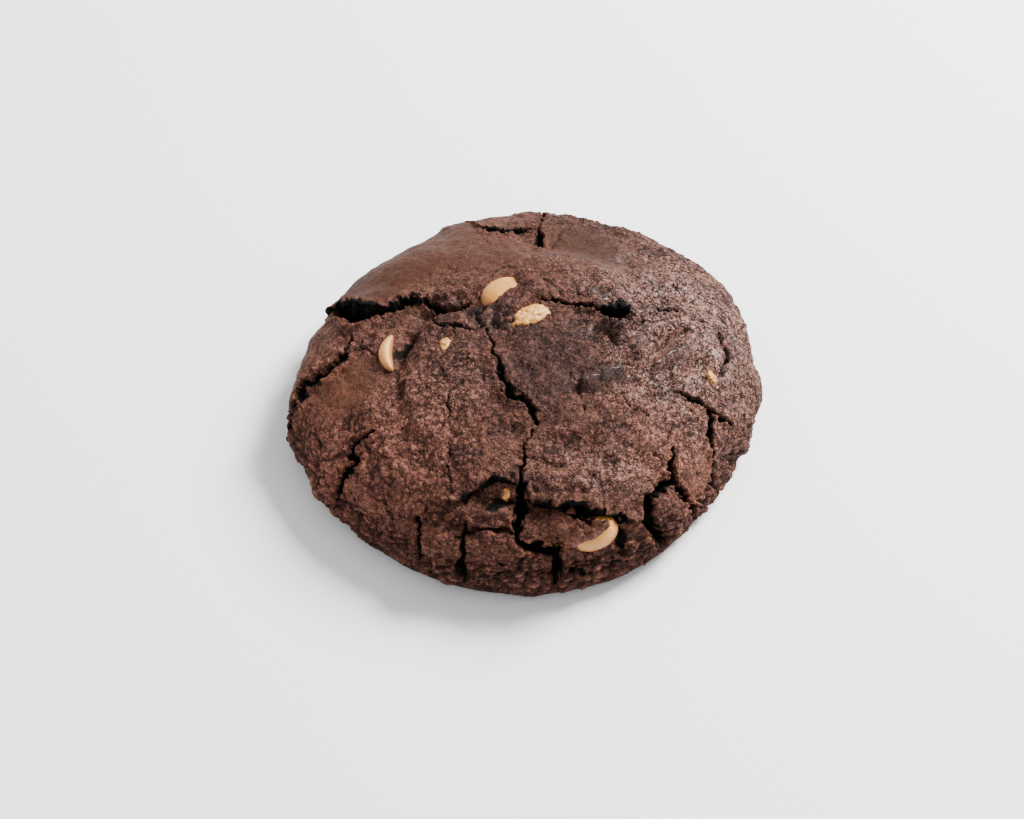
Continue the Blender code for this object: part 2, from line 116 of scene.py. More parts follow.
class Unevenness:
    """Repeatable noise over 3-D points, for relief worked out on the mesh."""

    TURN = np.array(Matrix.Rotation(0.9, 3, Vector((1, 2, 3)).normalized()))
    CELL_MIX = np.array((374761393, 668265263, 974634777))
    SEED_MIX = 144269
    BIT_MIX = 1274126177
    WORD = 0xFFFFFFFF
    LOW_BITS = 0xFFFFFF
    PLATE_SPREAD = 0.48

    @classmethod
    def lattice(cls, cell: Array, seed: int) -> Array:
        """Repeatable values from -1 to 1 for whole-numbered cells.

        Args:
            cell: The cells, one row of three whole numbers each.
            seed: Which of the many noises.

        Returns:
            One value for each cell.
        """
        mixed = ((cell * cls.CELL_MIX).sum(1) + seed * cls.SEED_MIX) & cls.WORD
        mixed = ((mixed ^ (mixed >> 13)) * cls.BIT_MIX) & cls.WORD
        mixed = mixed ^ (mixed >> 16)
        return (mixed & cls.LOW_BITS) / (cls.LOW_BITS // 2) - 1

    @classmethod
    def soft(cls, points: Array, wavelength: float, seed: int) -> Array:
        """Smooth noise from -1 to 1.

        Args:
            points: Where it is read.
            wavelength: The size of its swells.
            seed: Which of the many noises.

        Returns:
            One value for each point.
        """
        scaled = points / wavelength
        low = np.floor(scaled).astype(np.int64)
        part = scaled - low
        ease = part * part * part * (part * (part * 6 - 15) + 10)
        total = np.zeros(len(points))
        for corner in range(8):
            step = np.array((corner & 1, corner >> 1 & 1, corner >> 2 & 1))
            share = np.prod(np.where(step == 1, ease, 1 - ease), axis=1)
            total += share * cls.lattice(low + step, seed)
        return total

    @classmethod
    def layers(cls, points: Array, sizes: Iterable[Sequence[float]], seed: int) -> Array:
        """Several smooth noises added up.

        Args:
            points: Where they are read.
            sizes: Rows of wavelength and height.
            seed: The first one's seed.

        Returns:
            One height for each point.
        """
        total = np.zeros(len(points))
        for index, (wavelength, height) in enumerate(sizes):
            total += height * cls.soft(points, wavelength, seed + index)
        return total

    @classmethod
    def shifts(cls, points: Array, sizes: Iterable[Sequence[float]], seeds: Iterable[int]) -> Array:
        """Layered noise along several axes.

        Args:
            points: Where it is read.
            sizes: Rows of wavelength and height.
            seeds: Each axis's first seed.

        Returns:
            One row of shifts for each point.
        """
        return np.stack([cls.layers(points, sizes, seed) for seed in seeds], 1)

    @classmethod
    def plates(cls, points: Array, size: float, seed: int) -> tuple[Array, Array]:
        """An irregular pattern of plates.

        Args:
            points: Where it is read.
            size: A plate's width.
            seed: Which of the many patterns.

        Returns:
            The distance to the plate's border in plate widths, and a value from -1 to 1 for the plate.
        """
        scaled = points @ cls.TURN / size
        home = np.floor(scaled).astype(np.int64)
        first = np.full(len(points), 9.0)
        second = np.full(len(points), 9.0)
        owner = np.zeros(len(points))
        for step in np.ndindex(3, 3, 3):
            cell = home + np.array(step) - 1
            offset = [cls.lattice(cell, seed + axis) for axis in range(3)]
            middle = cell + 0.5 + cls.PLATE_SPREAD * np.stack(offset, 1)
            gap = np.sqrt(((scaled - middle) ** 2).sum(1))
            nearer = gap < first
            second = np.where(nearer, first, np.minimum(second, gap))
            owner = np.where(nearer, cls.lattice(cell, seed + 3), owner)
            first = np.where(nearer, gap, first)
        return (second - first) / 2, owner


@dataclass(frozen=True)
class Lump:
    """A rounded swelling or patch: its name, place in plan, reach along and across, turn and height."""

    name: str
    place: Numbers
    reach: Numbers
    turn: float
    height: float
    firmness: float = 1.0

    def over(self, flat: Array) -> Array:
        """The swelling's height at places in plan."""
        turn = math.radians(self.turn)
        gap = flat - np.array(self.place)
        long = (gap[:, 0] * math.cos(turn) + gap[:, 1] * math.sin(turn)) / self.reach[0]
        short = (gap[:, 1] * math.cos(turn) - gap[:, 0] * math.sin(turn)) / self.reach[1]
        return self.height * np.exp(-((long**2 + short**2) ** self.firmness))


@dataclass(frozen=True)
class Path:
    """A line of points in plan, each row ending in the value that changes along it, such as a width."""

    points: Table

    def nearest(self, flat: Array) -> tuple[Array, Array, Array]:
        """How places in plan lie to the path.

        Args:
            flat: The places.

        Returns:
            The signed distance, left positive, the direction to the left, and the row's last value there.
        """
        distance = np.full(len(flat), np.inf)
        side = np.ones(len(flat))
        last = np.zeros(len(flat))
        leftward = np.zeros((len(flat), 2))
        for start, end in zip(self.points[:-1], self.points[1:]):
            first = np.array(start[:2])
            along = np.array(end[:2]) - first
            share = np.clip((flat - first) @ along / (along @ along), 0, 1)
            gap = flat - first - share[:, None] * along
            reach = np.hypot(gap[:, 0], gap[:, 1])
            near = reach < distance
            distance = np.where(near, reach, distance)
            side = np.where(near, np.sign(along[0] * gap[:, 1] - along[1] * gap[:, 0] + 1e-12), side)
            last = np.where(near, start[-1] + share * (end[-1] - start[-1]), last)
            left = np.array((-along[1], along[0])) / np.linalg.norm(along)
            leftward = np.where(near[:, None], left, leftward)
        return distance * side, leftward, last


@dataclass(frozen=True)
class Valley:
    """A soft furrow along a path in plan, or a ridge where its depth is negative."""

    name: str
    path: Table
    reach: float
    depth: float

    def over(self, flat: Array) -> Array:
        """The height that the furrow takes at places in plan."""
        distance, _, _ = Path(self.path).nearest(flat)
        return self.depth * np.exp(-((distance / self.reach) ** 2))


@dataclass(frozen=True)
class Crack:
    """An open crack: rows of x, y and width, its depth, and how its left side differs."""

    name: str
    path: Table
    depth: float
    step: float = 0.0
    overhang: float = 0.0

    def widest(self) -> float:
        """The crack's greatest width."""
        return max(row[2] for row in self.path)


@dataclass(frozen=True)
class CrackShape:
    """How every crack is shaped across its width, and what it does to the crust round it."""

    wall_top: float = 1.2
    wall_bottom: float = 0.5
    lip_place: float = 1.4
    lip_rise: float = 0.22
    lip_reach: float = 1.1 * MM
    plate_fall: float = 0.25 * MM
    plate_reach: float = 3.0 * MM
    step_reach: float = 7.0 * MM
    jag_full: float = 2.4 * MM
    jag_fade: float = 1.5
    # The dark_ values place the painted shade inside a crack: from which depth, across how much of its
    # width, and how much further under an overhanging lip.
    dark_depths: Numbers = mm(0.4, 1.6)
    dark_band: Numbers = (1.05, 0.6)
    broad_dark_band: Numbers = (1.15, 0.75)
    dark_hang: float = 0.4
    wide: float = 1.4 * MM
    broad: float = 2.8 * MM
    wall_middle: float = 0.9
    wall_band: float = 0.75
    hairline_edge: Numbers = (1.3, 0.3)


class Relief:
    """The named swellings, furrows and cracks of this cookie."""

    LUMPS = (
        Lump("left hump", mm(-16, -16), mm(12, 12), 0, 1.3 * MM),
        Lump("back hump", mm(6, 17), mm(18, 9), -18, 1.6 * MM),
        Lump("right plate", mm(33, 1), mm(9, 7), 25, 1.1 * MM),
        Lump("front ridge", mm(13, -37.4), mm(10.5, 3), 3, 2.4 * MM),
        Lump("front left lobe", mm(-9, -32), mm(8, 4), 10, 1.0 * MM),
        Lump("front right swelling", mm(25, -26), mm(8, 7), 0, 0.7 * MM),
        Lump("back left slab", mm(-27, 25), mm(18, 9), 42, 1.4 * MM),
        Lump("back right slab", mm(17, 40), mm(15, 6), -22, 1.6 * MM),
        Lump("chunk under the crust", mm(17, -9), mm(5.5, 2.2), 35, 1.1 * MM),
        Lump("chunk by the hole", mm(18, 1.5), mm(3.2, 2.6), 0, 1.2 * MM),
        Lump("front left lip", mm(-20, -46), mm(4, 2.6), 10, 1.0 * MM),
        Lump("left slab", mm(-46.5, 10), mm(6, 7), 0, 1.2 * MM),
        Lump("back knob", mm(-16, 43), mm(3.5, 3.5), 0, 1.2 * MM),
        Lump("right block", mm(34, -28), mm(4, 4), 0, 0.8 * MM),
        Lump("broken corner", mm(30.5, -37), mm(3.5, 3), 0, 0.9 * MM),
        Lump("front block", mm(-8, -42), mm(6, 2.4), 0, 0.9 * MM),
        Lump("shelf before the ridge", mm(6, -44.6), mm(5, 2.6), 0, 0.9 * MM),
        Lump("dent by the tear", mm(-48.5, 26), mm(4, 4), 0, -1.5 * MM),
        Lump("dent at the back right", mm(27, 44), mm(6, 4), -32, -1.1 * MM),
    )
    VALLEYS = (
        Valley("foot of the left hump", rows((-22.5, 5.5), (-25.3, 1), (-28, -4.5), (-28.8, -10),
                                             (-28, -17), (-26, -24)),
               3.0 * MM, 1.2 * MM),
        Valley("smooth back valley", rows((3, 29), (12, 27.5), (20, 23), (27, 15)), 4.5 * MM, 1.6 * MM),
        Valley("under the front ridge", rows((1, -41), (8, -41.8), (16, -41)), 1.6 * MM, 1.3 * MM),
        Valley("front left recess", rows((-13, -39.3), (-8, -40), (-4, -40.4)), 2.0 * MM, 1.6 * MM),
        Valley("rough pit by the peanuts", rows((-10.5, 2), (-6, 3)), 2.8 * MM, 1.3 * MM),
        Valley("pit right of the left peanut", rows((-26.9, -2.4), (-25.4, 0.2)), 1.7 * MM, 2.0 * MM),
        Valley("hollow before the ridge", rows((0, -29), (5, -30.5), (13, -28)), 3.2 * MM, 1.2 * MM),
        Valley("foot of the right plate", rows((42.5, 5), (43.5, 0), (42.5, -4), (40.5, -4.5)),
               1.2 * MM, 0.8 * MM),
        Valley("glossy pit of the tear", rows((-20, 8), (-14, 7.5)), 2.2 * MM, 1.9 * MM),
        Valley("hollow of the right plate", rows((30, -8), (35, -5), (38, -3)), 2.4 * MM, 0.9 * MM),
        Valley("pit by the chunk", rows((19, -0.8), (20.1, -2.3)), 1.1 * MM, 1.9 * MM),
        Valley("handle of the chunk", rows((17, 2.4), (20.6, 1.6), (22.8, -0.6), (23.4, -3), (22.8, -5.5)),
               1.0 * MM, -0.9 * MM),
        Valley("glossy streak", rows((12, -14), (15.7, -12.7), (20.8, -10.3)), 1.0 * MM, -0.7 * MM),
        Valley("furrow above the streak", rows((11.6, -12), (14, -11.2), (18.6, -9.3)), 0.8 * MM, 0.8 * MM),
        Valley("fold on the right", rows((25.6, -6.2), (30.3, -1.4), (34.8, 3.4)), 1.1 * MM, 1.0 * MM),
        Valley("gap round the front peanut", rows((18, -46.8), (12, -48.2)), 1.3 * MM, 1.0 * MM),
        Valley("pit right of the front peanut", rows((19.8, -43.8), (20, -46)), 1.5 * MM, 2.2 * MM),
        Valley("right rim groove", rows((44, 24), (46.5, 17), (47.5, 11)), 1.0 * MM, 0.9 * MM),
    )
    CRACKS = (
        Crack("back left tear",
              rows((-50.5, 28.8, 1), (-45, 22, 1.5), (-40.5, 16.2, 3), (-36.7, 10.9, 4.8),
                   (-33.5, 10.4, 3.2), (-30, 10.2, 2.5), (-26.2, 11.2, 2.3), (-21.8, 11.3, 1.8)),
              6.5 * MM, 1.6 * MM, 1.4 * MM),
        Crack("end of the tear",
              rows((-21.5, 11.5, 1.4), (-19, 8.8, 1.8), (-16, 7.6, 1.8), (-13, 9.2, 0.9)),
              3.0 * MM),
        Crack("hump crack", rows((-20, 8, 1), (-20.5, 4.5, 0.9), (-19, 2, 0.8), (-14, 1, 1), (-9, 0.5, 1)),
              1.4 * MM),
        Crack("left crack",
              rows((-38.6, 4.2, 1), (-39.1, 0.8, 1.9), (-39.6, -1.3, 2.4), (-41.6, -2.9, 2.9),
                   (-43.8, -4.4, 3.5), (-46.2, -4.3, 3.3), (-48.2, -4.4, 2.9), (-48.6, -7.3, 3),
                   (-50.9, -10.4, 2.8), (-56, -12.3, 2)),
              5.0 * MM, 0.6 * MM, 0.4 * MM),
        Crack("lower left crack",
              rows((-33, -22.5, 1), (-36, -23.5, 2.3), (-37.5, -25.5, 1.5), (-35.5, -27, 1.8),
                   (-39, -28, 2.3), (-40, -30.5, 1.5), (-43, -33.5, 1)),
              2.8 * MM),
        Crack("front left crack",
              rows((-22.6, -41, 0.7), (-22.8, -44, 1.1), (-22, -47.5, 1.1), (-22, -51, 0.6)),
              2.0 * MM),
        Crack("front crack",
              rows((1.5, -26, 0.3), (0, -30, 0.35), (-0.5, -34, 0.6), (-1.5, -38, 1.8), (-1.5, -43, 2.2),
                   (-2, -46.8, 1.9), (1.5, -48.2, 1.5), (6, -48.6, 1.3)),
              3.6 * MM),
        Crack("front gap", rows((6.5, -48, 2.2), (7, -50.5, 2.6), (7, -56, 2)), 3.6 * MM),
        Crack("under the front ridge",
              rows((-0.3, -39.8, 0.9), (3.9, -40.3, 1.3), (7.4, -40.8, 1.7), (10.1, -41.9, 2.2),
                   (13.2, -41.8, 2.4), (16.4, -41.6, 2.4), (19, -41.4, 1.8), (21.5, -41.2, 0.7)),
              2.6 * MM, 0.8 * MM, 1.0 * MM),
        Crack("lip of the front left recess",
              rows((-15.5, -39.2, 0.3), (-12.5, -39, 0.4), (-9.5, -38, 0.6), (-6.8, -36.3, 1.6),
                   (-3.8, -36.1, 1.5), (-2, -37.2, 0.8)),
              1.5 * MM, 0.8 * MM, 0.6 * MM),
        Crack("centre crack",
              rows((-8, -1, 0.5), (-7.5, -7, 0.6), (-6, -11.5, 0.9), (-4, -15, 1.4), (-3, -18, 1.5),
                   (0.1, -19.3, 1.2), (1.9, -21.6, 2), (2.2, -24, 0.6)),
              1.9 * MM),
        Crack("crack to the hole", rows((3.6, 7.9, 0.5), (9, 7.1, 0.7), (13, 6.4, 0.9), (16, 5.6, 1.6)),
              1.9 * MM, 0.5 * MM),
        Crack("deep hole", rows((16.4, 5.3, 2.2), (18.4, 5, 3.8), (20, 4.9, 4.8)),
              6.0 * MM, 0.6 * MM, 0.5 * MM),
        Crack("right long crack",
              rows((24, 10.5, 0.5), (27.9, 9.3, 0.7), (30.5, 8.5, 0.8), (34.3, 8.8, 0.8), (38.1, 8.2, 0.9),
                   (40.6, 7.9, 0.9), (43, 6.4, 0.8)),
              1.3 * MM),
        Crack("ring crack", rows((43, 6.4, 0.7), (44.2, 3, 0.9), (43.9, 0, 1.1), (42.2, -4.6, 0.5)),
              1.5 * MM),
        Crack("right crack",
              rows((33, -12.3, 0.7), (36.5, -13.4, 1.3), (40, -14.3, 1.5), (43.5, -15.5, 0.8)),
              2.3 * MM, 0.4 * MM),
        Crack("right side crack",
              rows((39.7, -15, 1), (40.1, -19, 0.9), (39.5, -23, 1), (40.2, -27.5, 1.1), (42, -32, 0.8)),
              1.9 * MM),
        Crack("corner crack",
              rows((31.8, -24.8, 0.5), (31, -28, 1), (30.2, -30.5, 1.5), (32.3, -32.5, 1.5),
                   (36, -34.8, 1.4), (41, -38, 0.9)),
              3.0 * MM),
        Crack("corner gap",
              rows((30.2, -32.2, 1.4), (27.4, -34.5, 1.2), (26, -36.6, 1.5), (25.4, -38.6, 1.8),
                   (25, -40.6, 2), (27, -41.7, 2.2), (29.8, -41.9, 2.3), (33, -43.8, 1.8)),
              3.2 * MM),
        Crack("front rim crack",
              rows((-12.7, -44, 0.6), (-13.5, -46.5, 1.1), (-13.6, -49.5, 1.2), (-13.6, -53, 0.7)),
              2.0 * MM),
        Crack("front cross crack", rows((-15, -45, 0.5), (-9, -45, 0.6), (-3, -45.2, 0.6)), 0.8 * MM),
        Crack("tear under the back flap",
              rows((-9.5, 37.8, 0.9), (-8, 36, 2), (-4, 34.7, 2.6), (0, 36, 1.6)),
              2.8 * MM, 1.0 * MM, 0.8 * MM),
        Crack("back crack",
              rows((4.8, 55, 0.6), (4.2, 47, 0.6), (3.6, 42, 0.8), (3, 36.5, 0.9), (2.7, 33, 1.8),
                   (2.8, 30.8, 2.6), (2.9, 29.2, 1.6)),
              2.6 * MM),
        Crack("front rim split",
              rows((9.5, -51, 0.7), (14, -50.6, 1.1), (18, -49.4, 1), (23.5, -46.6, 0.7)),
              1.4 * MM),
    )
    COVERS = (
        Lump("over the back left peanut", mm(-3.6, 6.4), mm(7.5, 3), 33, 2.0 * MM, 4.0),
        Lump("over the back left peanut's end", mm(0.5, 13), mm(2.6, 2.8), 0, 1.8 * MM, 3.0),
        Lump("over the back right peanut's end", mm(-3.7, 3.4), mm(3.2, 2.5), 55, 1.5 * MM, 3.0),
        Lump("over the front peanut", mm(11.2, -42.8), mm(5.8, 3.9), 18, 2.9 * MM, 4.0),
    )
    DETAILS = (
        Lump("left end of the tear", mm(-49.5, 25), mm(5, 6), 0, -2.2 * MM),
        Lump("cap over the front peanut's far side", mm(13.2, -42.2), mm(4.2, 1.1), 4, 1.1 * MM, 2.0),
        Lump("knob by the hole", mm(15.4, 8.6), mm(1.8, 1.3), -30, 0.7 * MM),
        Lump("bump above the streak", mm(14, -7), mm(4, 2.2), 30, 0.5 * MM),
    )
    DETAIL_VALLEYS = (
        Valley("edge of the left hump", rows((-21.2, 7.1), (-25, 1.8), (-26.6, -3.6), (-27.5, -9.3),
                                             (-26.3, -15.3)),
               1.1 * MM, 0.8 * MM),
        Valley("edge of the back flap", rows((4.4, 27.8), (7, 33), (10.7, 38.5)), 0.8 * MM, 0.6 * MM),
        Valley("deeper fold on the right", rows((25.6, -6.2), (30.3, -1.4), (34.8, 3.4)),
               0.9 * MM, 1.1 * MM),
        Valley("edge of the fold", rows((27.8, -7.6), (32.6, -3), (36.5, 1.6)), 1.1 * MM, -1.5 * MM),
        Valley("smear over the fold", rows((22.8, -4.4), (27, 0.6), (31, 4.6)), 1.2 * MM, -1.2 * MM),
        Valley("second fold", rows((31, -9.5), (35.5, -6), (39, -2.4)), 1.0 * MM, 1.2 * MM),
        Valley("fold below the streak", rows((11, -16.4), (17, -15.2), (23, -12.2)), 1.1 * MM, 0.9 * MM),
        Valley("glossy streak's crest", rows((12, -14), (15.7, -12.7), (20.8, -10.3)), 0.9 * MM, -0.7 * MM),
        Valley("fold over the front ridge", rows((4, -36.2), (9, -34.4), (17, -33.6)), 1.0 * MM, -0.7 * MM),
        Valley("groove above the ridge", rows((-1, -31.5), (5, -33.4), (12, -34.5)), 1.4 * MM, 1.0 * MM),
    )
    HAIRLINES = (
        rows((-17.4, -49, 0.8), (-14.9, -49.9, 1), (-12.6, -50.5, 0.8)),
        rows((-6.5, -51.5, 0.8), (-3, -52.1, 1), (0.6, -52.2, 0.9)),
        rows((-14.5, -45.2, 0.8), (-9, -45.1, 0.9), (-3, -45.3, 0.9)),
        rows((2, 15, 0.5), (5, 12, 0.6), (7.5, 10, 0.6), (9.5, 8, 0.6)),
        rows((-10, 14, 0.4), (-5, 18, 0.5), (0, 17, 0.5), (6, 15, 0.4), (12, 17, 0.3)),
        rows((10, 12, 0.4), (13, 9, 0.5), (16, 12, 0.4), (19, 10, 0.4)),
        rows((22, 16, 0.4), (22.5, 9, 0.5), (26, 4, 0.4), (30, 3.5, 0.5)),
        rows((-10.8, 5.6, 0.5), (-9.9, 3, 0.7), (-9.2, 0.8, 0.5)),
        rows((-3.8, 2.3, 0.5), (-3.4, 0.4, 0.6), (-3.2, -2, 0.5)),
        rows((8.7, -11.5, 0.5), (10.6, -13.7, 0.7), (11.5, -17, 0.5), (12.2, -21, 0.4)),
        rows((10.8, -13.1, 0.5), (15.3, -11.9, 0.7), (22.2, -8.5, 0.4)),
        rows((21, -15.7, 0.5), (22, -18.8, 0.6), (25, -19.2, 0.4)),
        rows((-13, -13, 0.4), (-17, -17, 0.5), (-16, -21, 0.4), (-18, -25, 0.4)),
        rows((-16.3, -27.8, 0.4), (-16.5, -32, 0.5), (-15.6, -37.7, 0.6)),
        rows((-46, -17, 0.5), (-44, -21, 0.6), (-46, -23.5, 0.6), (-41, -24.5, 0.5), (-39, -24, 0.4)),
        rows((-36, 2, 0.5), (-34, -2, 0.6), (-31, -5, 0.5)),
        rows((30, -18, 0.5), (33, -19, 0.5), (37, -17, 0.4)),
        rows((31, -20, 0.4), (30.5, -24, 0.5), (26.5, -27.5, 0.5), (28.5, -30, 0.6)),
        rows((14, -35, 0.4), (15.5, -37.5, 0.6), (16, -39.5, 0.6)),
        rows((-32, -35.5, 0.5), (-29, -38.5, 0.5), (-28, -42, 0.6)),
        rows((47, -3, 0.5), (48, -9, 0.5), (47, -15, 0.4)),
        rows((26, 4.5, 0.4), (29, 3, 0.6), (31, 3.5, 0.4)),
        rows((25.5, -5.5, 0.5), (29, -2.5, 0.7), (34, 2.8, 0.4)),
        rows((44, 14, 0.5), (46, 8, 0.7), (46.5, 3, 0.4)),
    )
    # Painted shade: pits, hollows, recesses and gaps that are coloured near black like the inside of a
    # crack.
    PAINTED_SHADE_SPOTS = (
        Lump("right of the left peanut", mm(-26.5, -1.8), mm(2.4, 1.6), 60, 1.0, 2.0),
        Lump("by the back peanuts", mm(-10.5, 5.5), mm(3, 2.4), 0, 0.45, 2.0),
        Lump("before the front chip", mm(-5.6, -40.6), mm(3, 1.0), 10, 0.75, 2.0),
        Lump("left end of the recess", mm(-12.3, -38.9), mm(2.4, 0.9), -10, 0.6, 2.0),
        Lump("by the chunk", mm(19.9, -2.5), mm(1.5, 0.9), -55, 1.0, 2.0),
        Lump("right of the front peanut", mm(19.9, -45), mm(1.3, 1.9), 0, 1.0, 2.0),
        Lump("pores before the ridge", mm(6, -30.2), mm(4.5, 1.2), 8, 0.35, 2.0),
        Lump("deep hole", mm(18.7, 4.8), mm(2.5, 1.6), -8, 1.0, 4.0),
        Lump("front rim, left of the middle", mm(-5, -50.4), mm(0.9, 0.7), 0, 0.8, 2.0),
        Lump("front rim, middle", mm(-1.1, -50.3), mm(0.8, 0.6), 0, 0.8, 2.0),
    )
    SHAPE = CrackShape()

    @classmethod
    def soft(cls, flat: Array) -> Array:
        """Height added by the swellings and taken by the furrows."""
        height = np.zeros(len(flat))
        for lump in cls.LUMPS:
            height += lump.over(flat)
        for valley in cls.VALLEYS:
            height -= valley.over(flat)
        return height

    @classmethod
    def details(cls, flat: Array) -> Array:
        """Height added and taken by the forms that only the finished crust has."""
        height = sum(lump.over(flat) for lump in cls.DETAILS)
        return height - sum(valley.over(flat) for valley in cls.DETAIL_VALLEYS)

    @classmethod
    def covers(cls, flat: Array) -> Array:
        """Height of the crust that runs over the peanuts."""
        height = np.zeros(len(flat))
        for cover in cls.COVERS:
            height += cover.over(flat)
        return height

    @classmethod
    def cracks(cls, flat: Array, jag: Array, crumb: Array) -> tuple[Array, Array, Array, Array]:
        """What the cracks do to the crust.

        Args:
            flat: Places in plan.
            jag: How far the crack's edge is moved there, which breaks its lips up.
            crumb: The height of crumbs there, which stand up along the lips.

        Returns:
            The height they add or take, how far their lips lean, how much painted shade each place
            has, and how crumbly it is.
        """
        shape = cls.SHAPE
        height = np.zeros(len(flat))
        lean = np.zeros((len(flat), 2))
        crack_shade = np.zeros(len(flat))
        crumbly = np.zeros(len(flat))
        for crack in cls.CRACKS:
            distance, leftward, width = Path(crack.path).nearest(flat)
            half = width / 2
            away = np.abs(distance)
            ragged = np.abs(away + jag * np.minimum(1, (width / shape.jag_full) ** shape.jag_fade))
            depth = crack.depth * np.sqrt(width / crack.widest())
            opening = smoothstep(shape.wall_top, shape.wall_bottom, ragged / half)
            height -= depth * opening
            # Painted shade: the inside of a deep crack is coloured near black, reaching further under an
            # overhanging lip.
            deep = smoothstep(*shape.dark_depths, depth)
            shaded = ragged / half / (1 + shape.dark_hang * (distance > 0) * (crack.overhang > 0))
            band = shape.broad_dark_band if crack.widest() > shape.broad else shape.dark_band
            crack_shade = np.maximum(crack_shade, smoothstep(*band, shaded) * deep)
            lip = np.exp(-(((away - shape.lip_place * half) / shape.lip_reach) ** 2))
            height += shape.lip_rise * width * lip + lip * crumb * deep
            crumbly = np.maximum(crumbly, lip * deep)
            height -= shape.plate_fall * np.exp(-((away / shape.plate_reach) ** 2))
            height += crack.step / 2 * np.tanh(distance / half) * np.exp(-away / shape.step_reach)
            hang = crack.overhang * np.exp(-(((distance - half) / shape.lip_reach) ** 2)) * (distance > 0)
            lean -= leftward * hang[:, None]
        return height, lean, crack_shade, crumbly

    @classmethod
    def on_walls(cls, flat: Array) -> Array:
        """Whether each place in plan lies on a wall or lip of one of the wider cracks."""
        found = np.zeros(len(flat), dtype=bool)
        for crack in cls.CRACKS:
            if crack.widest() < cls.SHAPE.wide:
                continue
            line = np.array(crack.path)[:, :2]
            reach = 2 * crack.widest()
            near = np.all((flat > line.min(0) - reach) & (flat < line.max(0) + reach), axis=1)
            distance, _, width = Path(crack.path).nearest(flat[near])
            share = np.abs(distance) / (width / 2)
            found[near] |= np.abs(share - cls.SHAPE.wall_middle) < cls.SHAPE.wall_band
        return found

    @classmethod
    def hairlines(cls, flat: Array) -> Array:
        """How far inside a hairline crack each place in plan is, from 0 to 1."""
        inside = np.zeros(len(flat))
        for line in cls.HAIRLINES:
            distance, _, width = Path(line).nearest(flat)
            share = np.abs(distance) / (width / 2)
            inside = np.maximum(inside, smoothstep(*cls.SHAPE.hairline_edge, share))
        return inside


@dataclass(frozen=True)
class Crumb:
    """The fine relief of the crust: jagged edges, plates, grains, blocks, folds and rough crack walls.

    Rows hold a wavelength and a height. An edge is the two readings between which a groove's side rises.
    """

    jagged: Table = rows((1.6, 0.38), (0.8, 0.2))
    cover_jag: float = 0.8
    jag_size: float = 1.5 * MM
    jag: float = 0.55 * MM
    lip_crumb_size: float = 1.1 * MM
    lip_crumb_edge: Numbers = (0.0, 0.2)
    lip_crumb: float = 0.6 * MM
    wall_crumb: Table = rows((1.8, 0.62), (0.8, 0.36))
    hairline_depth: float = 0.5 * MM

    wobble: Table = rows((1.5, 0.45), (0.7, 0.18))
    smooth_hides: float = 0.8
    plate_size: float = 1.9 * MM
    plate_tilt: float = 0.10 * MM
    groove_edge: Numbers = (0.11, 0.02)
    groove_depth: float = 0.20 * MM
    faint_grooves_size: float = 6.0 * MM
    faintest_groove: float = 0.3
    small_plate_size: float = 0.95 * MM
    small_groove_edge: Numbers = (0.16, 0.03)
    small_groove_depth: float = 0.09 * MM
    # small_groove_mark, crease_marks and fold_mark set how much painted shade the small grooves, creases
    # and folds' valleys take in the finish.
    small_groove_mark: float = 0.6
    creases: Table = rows((1.7, 0.42), (0.85, 0.22))
    crease_edge: Numbers = (0.12, 0.0)
    crease_marks: Numbers = (0.8, 0.56)
    middle_reading: float = 0.3
    grains: Table = rows((0.9, 0.06), (0.5, 0.045))

    block_size: float = 3.0 * MM
    block_squash: Numbers = (1, 1, 2)
    block_edge: Numbers = (0.12, 0.02)
    block_depth: float = 1.0 * MM
    block_side: Numbers = (0.1, -0.3)
    block_top: Numbers = mm(14, 9)
    block_foot: Numbers = mm(0.5, 3)

    swells: Table = rows((5.0, 0.38), (2.6, 0.26))
    fold_along: float = 9.0 * MM
    fold_across: float = 2.3 * MM
    fold_warp_size: float = 6.0 * MM
    fold_warp: float = 0.5
    fold_height: float = 1.5 * MM
    fold_mark: float = 0.6


@dataclass
class Skin:
    """The crust while it is worked out, one row for each point of the ball that it is made from.

    ball, points and normal are the bare body's. flat is the place in plan, moved about unevenly, and fine
    the finer unevenness that edges add to it. wobbled is the point moved about, for fine patterns. rim,
    smooth and crackled say how far a point lies at the rim, in smooth crust and in crackled crust. height
    is what stands over the bare body, and groove how far a point lies in the fine cracks, creases, fold
    valleys and block crevices, which the finish darkens as painted shade.
    """

    ball: Array
    points: Array
    normal: Array
    flat: Array
    fine: Array
    wobbled: Array
    rim: Array
    smooth: Array
    crackled: Array
    height: Array
    groove: Array

    def carve(self, groove: Array) -> None:
        """Keeps the deeper of the fine cracks so far and some others."""
        self.groove = np.maximum(self.groove, groove)


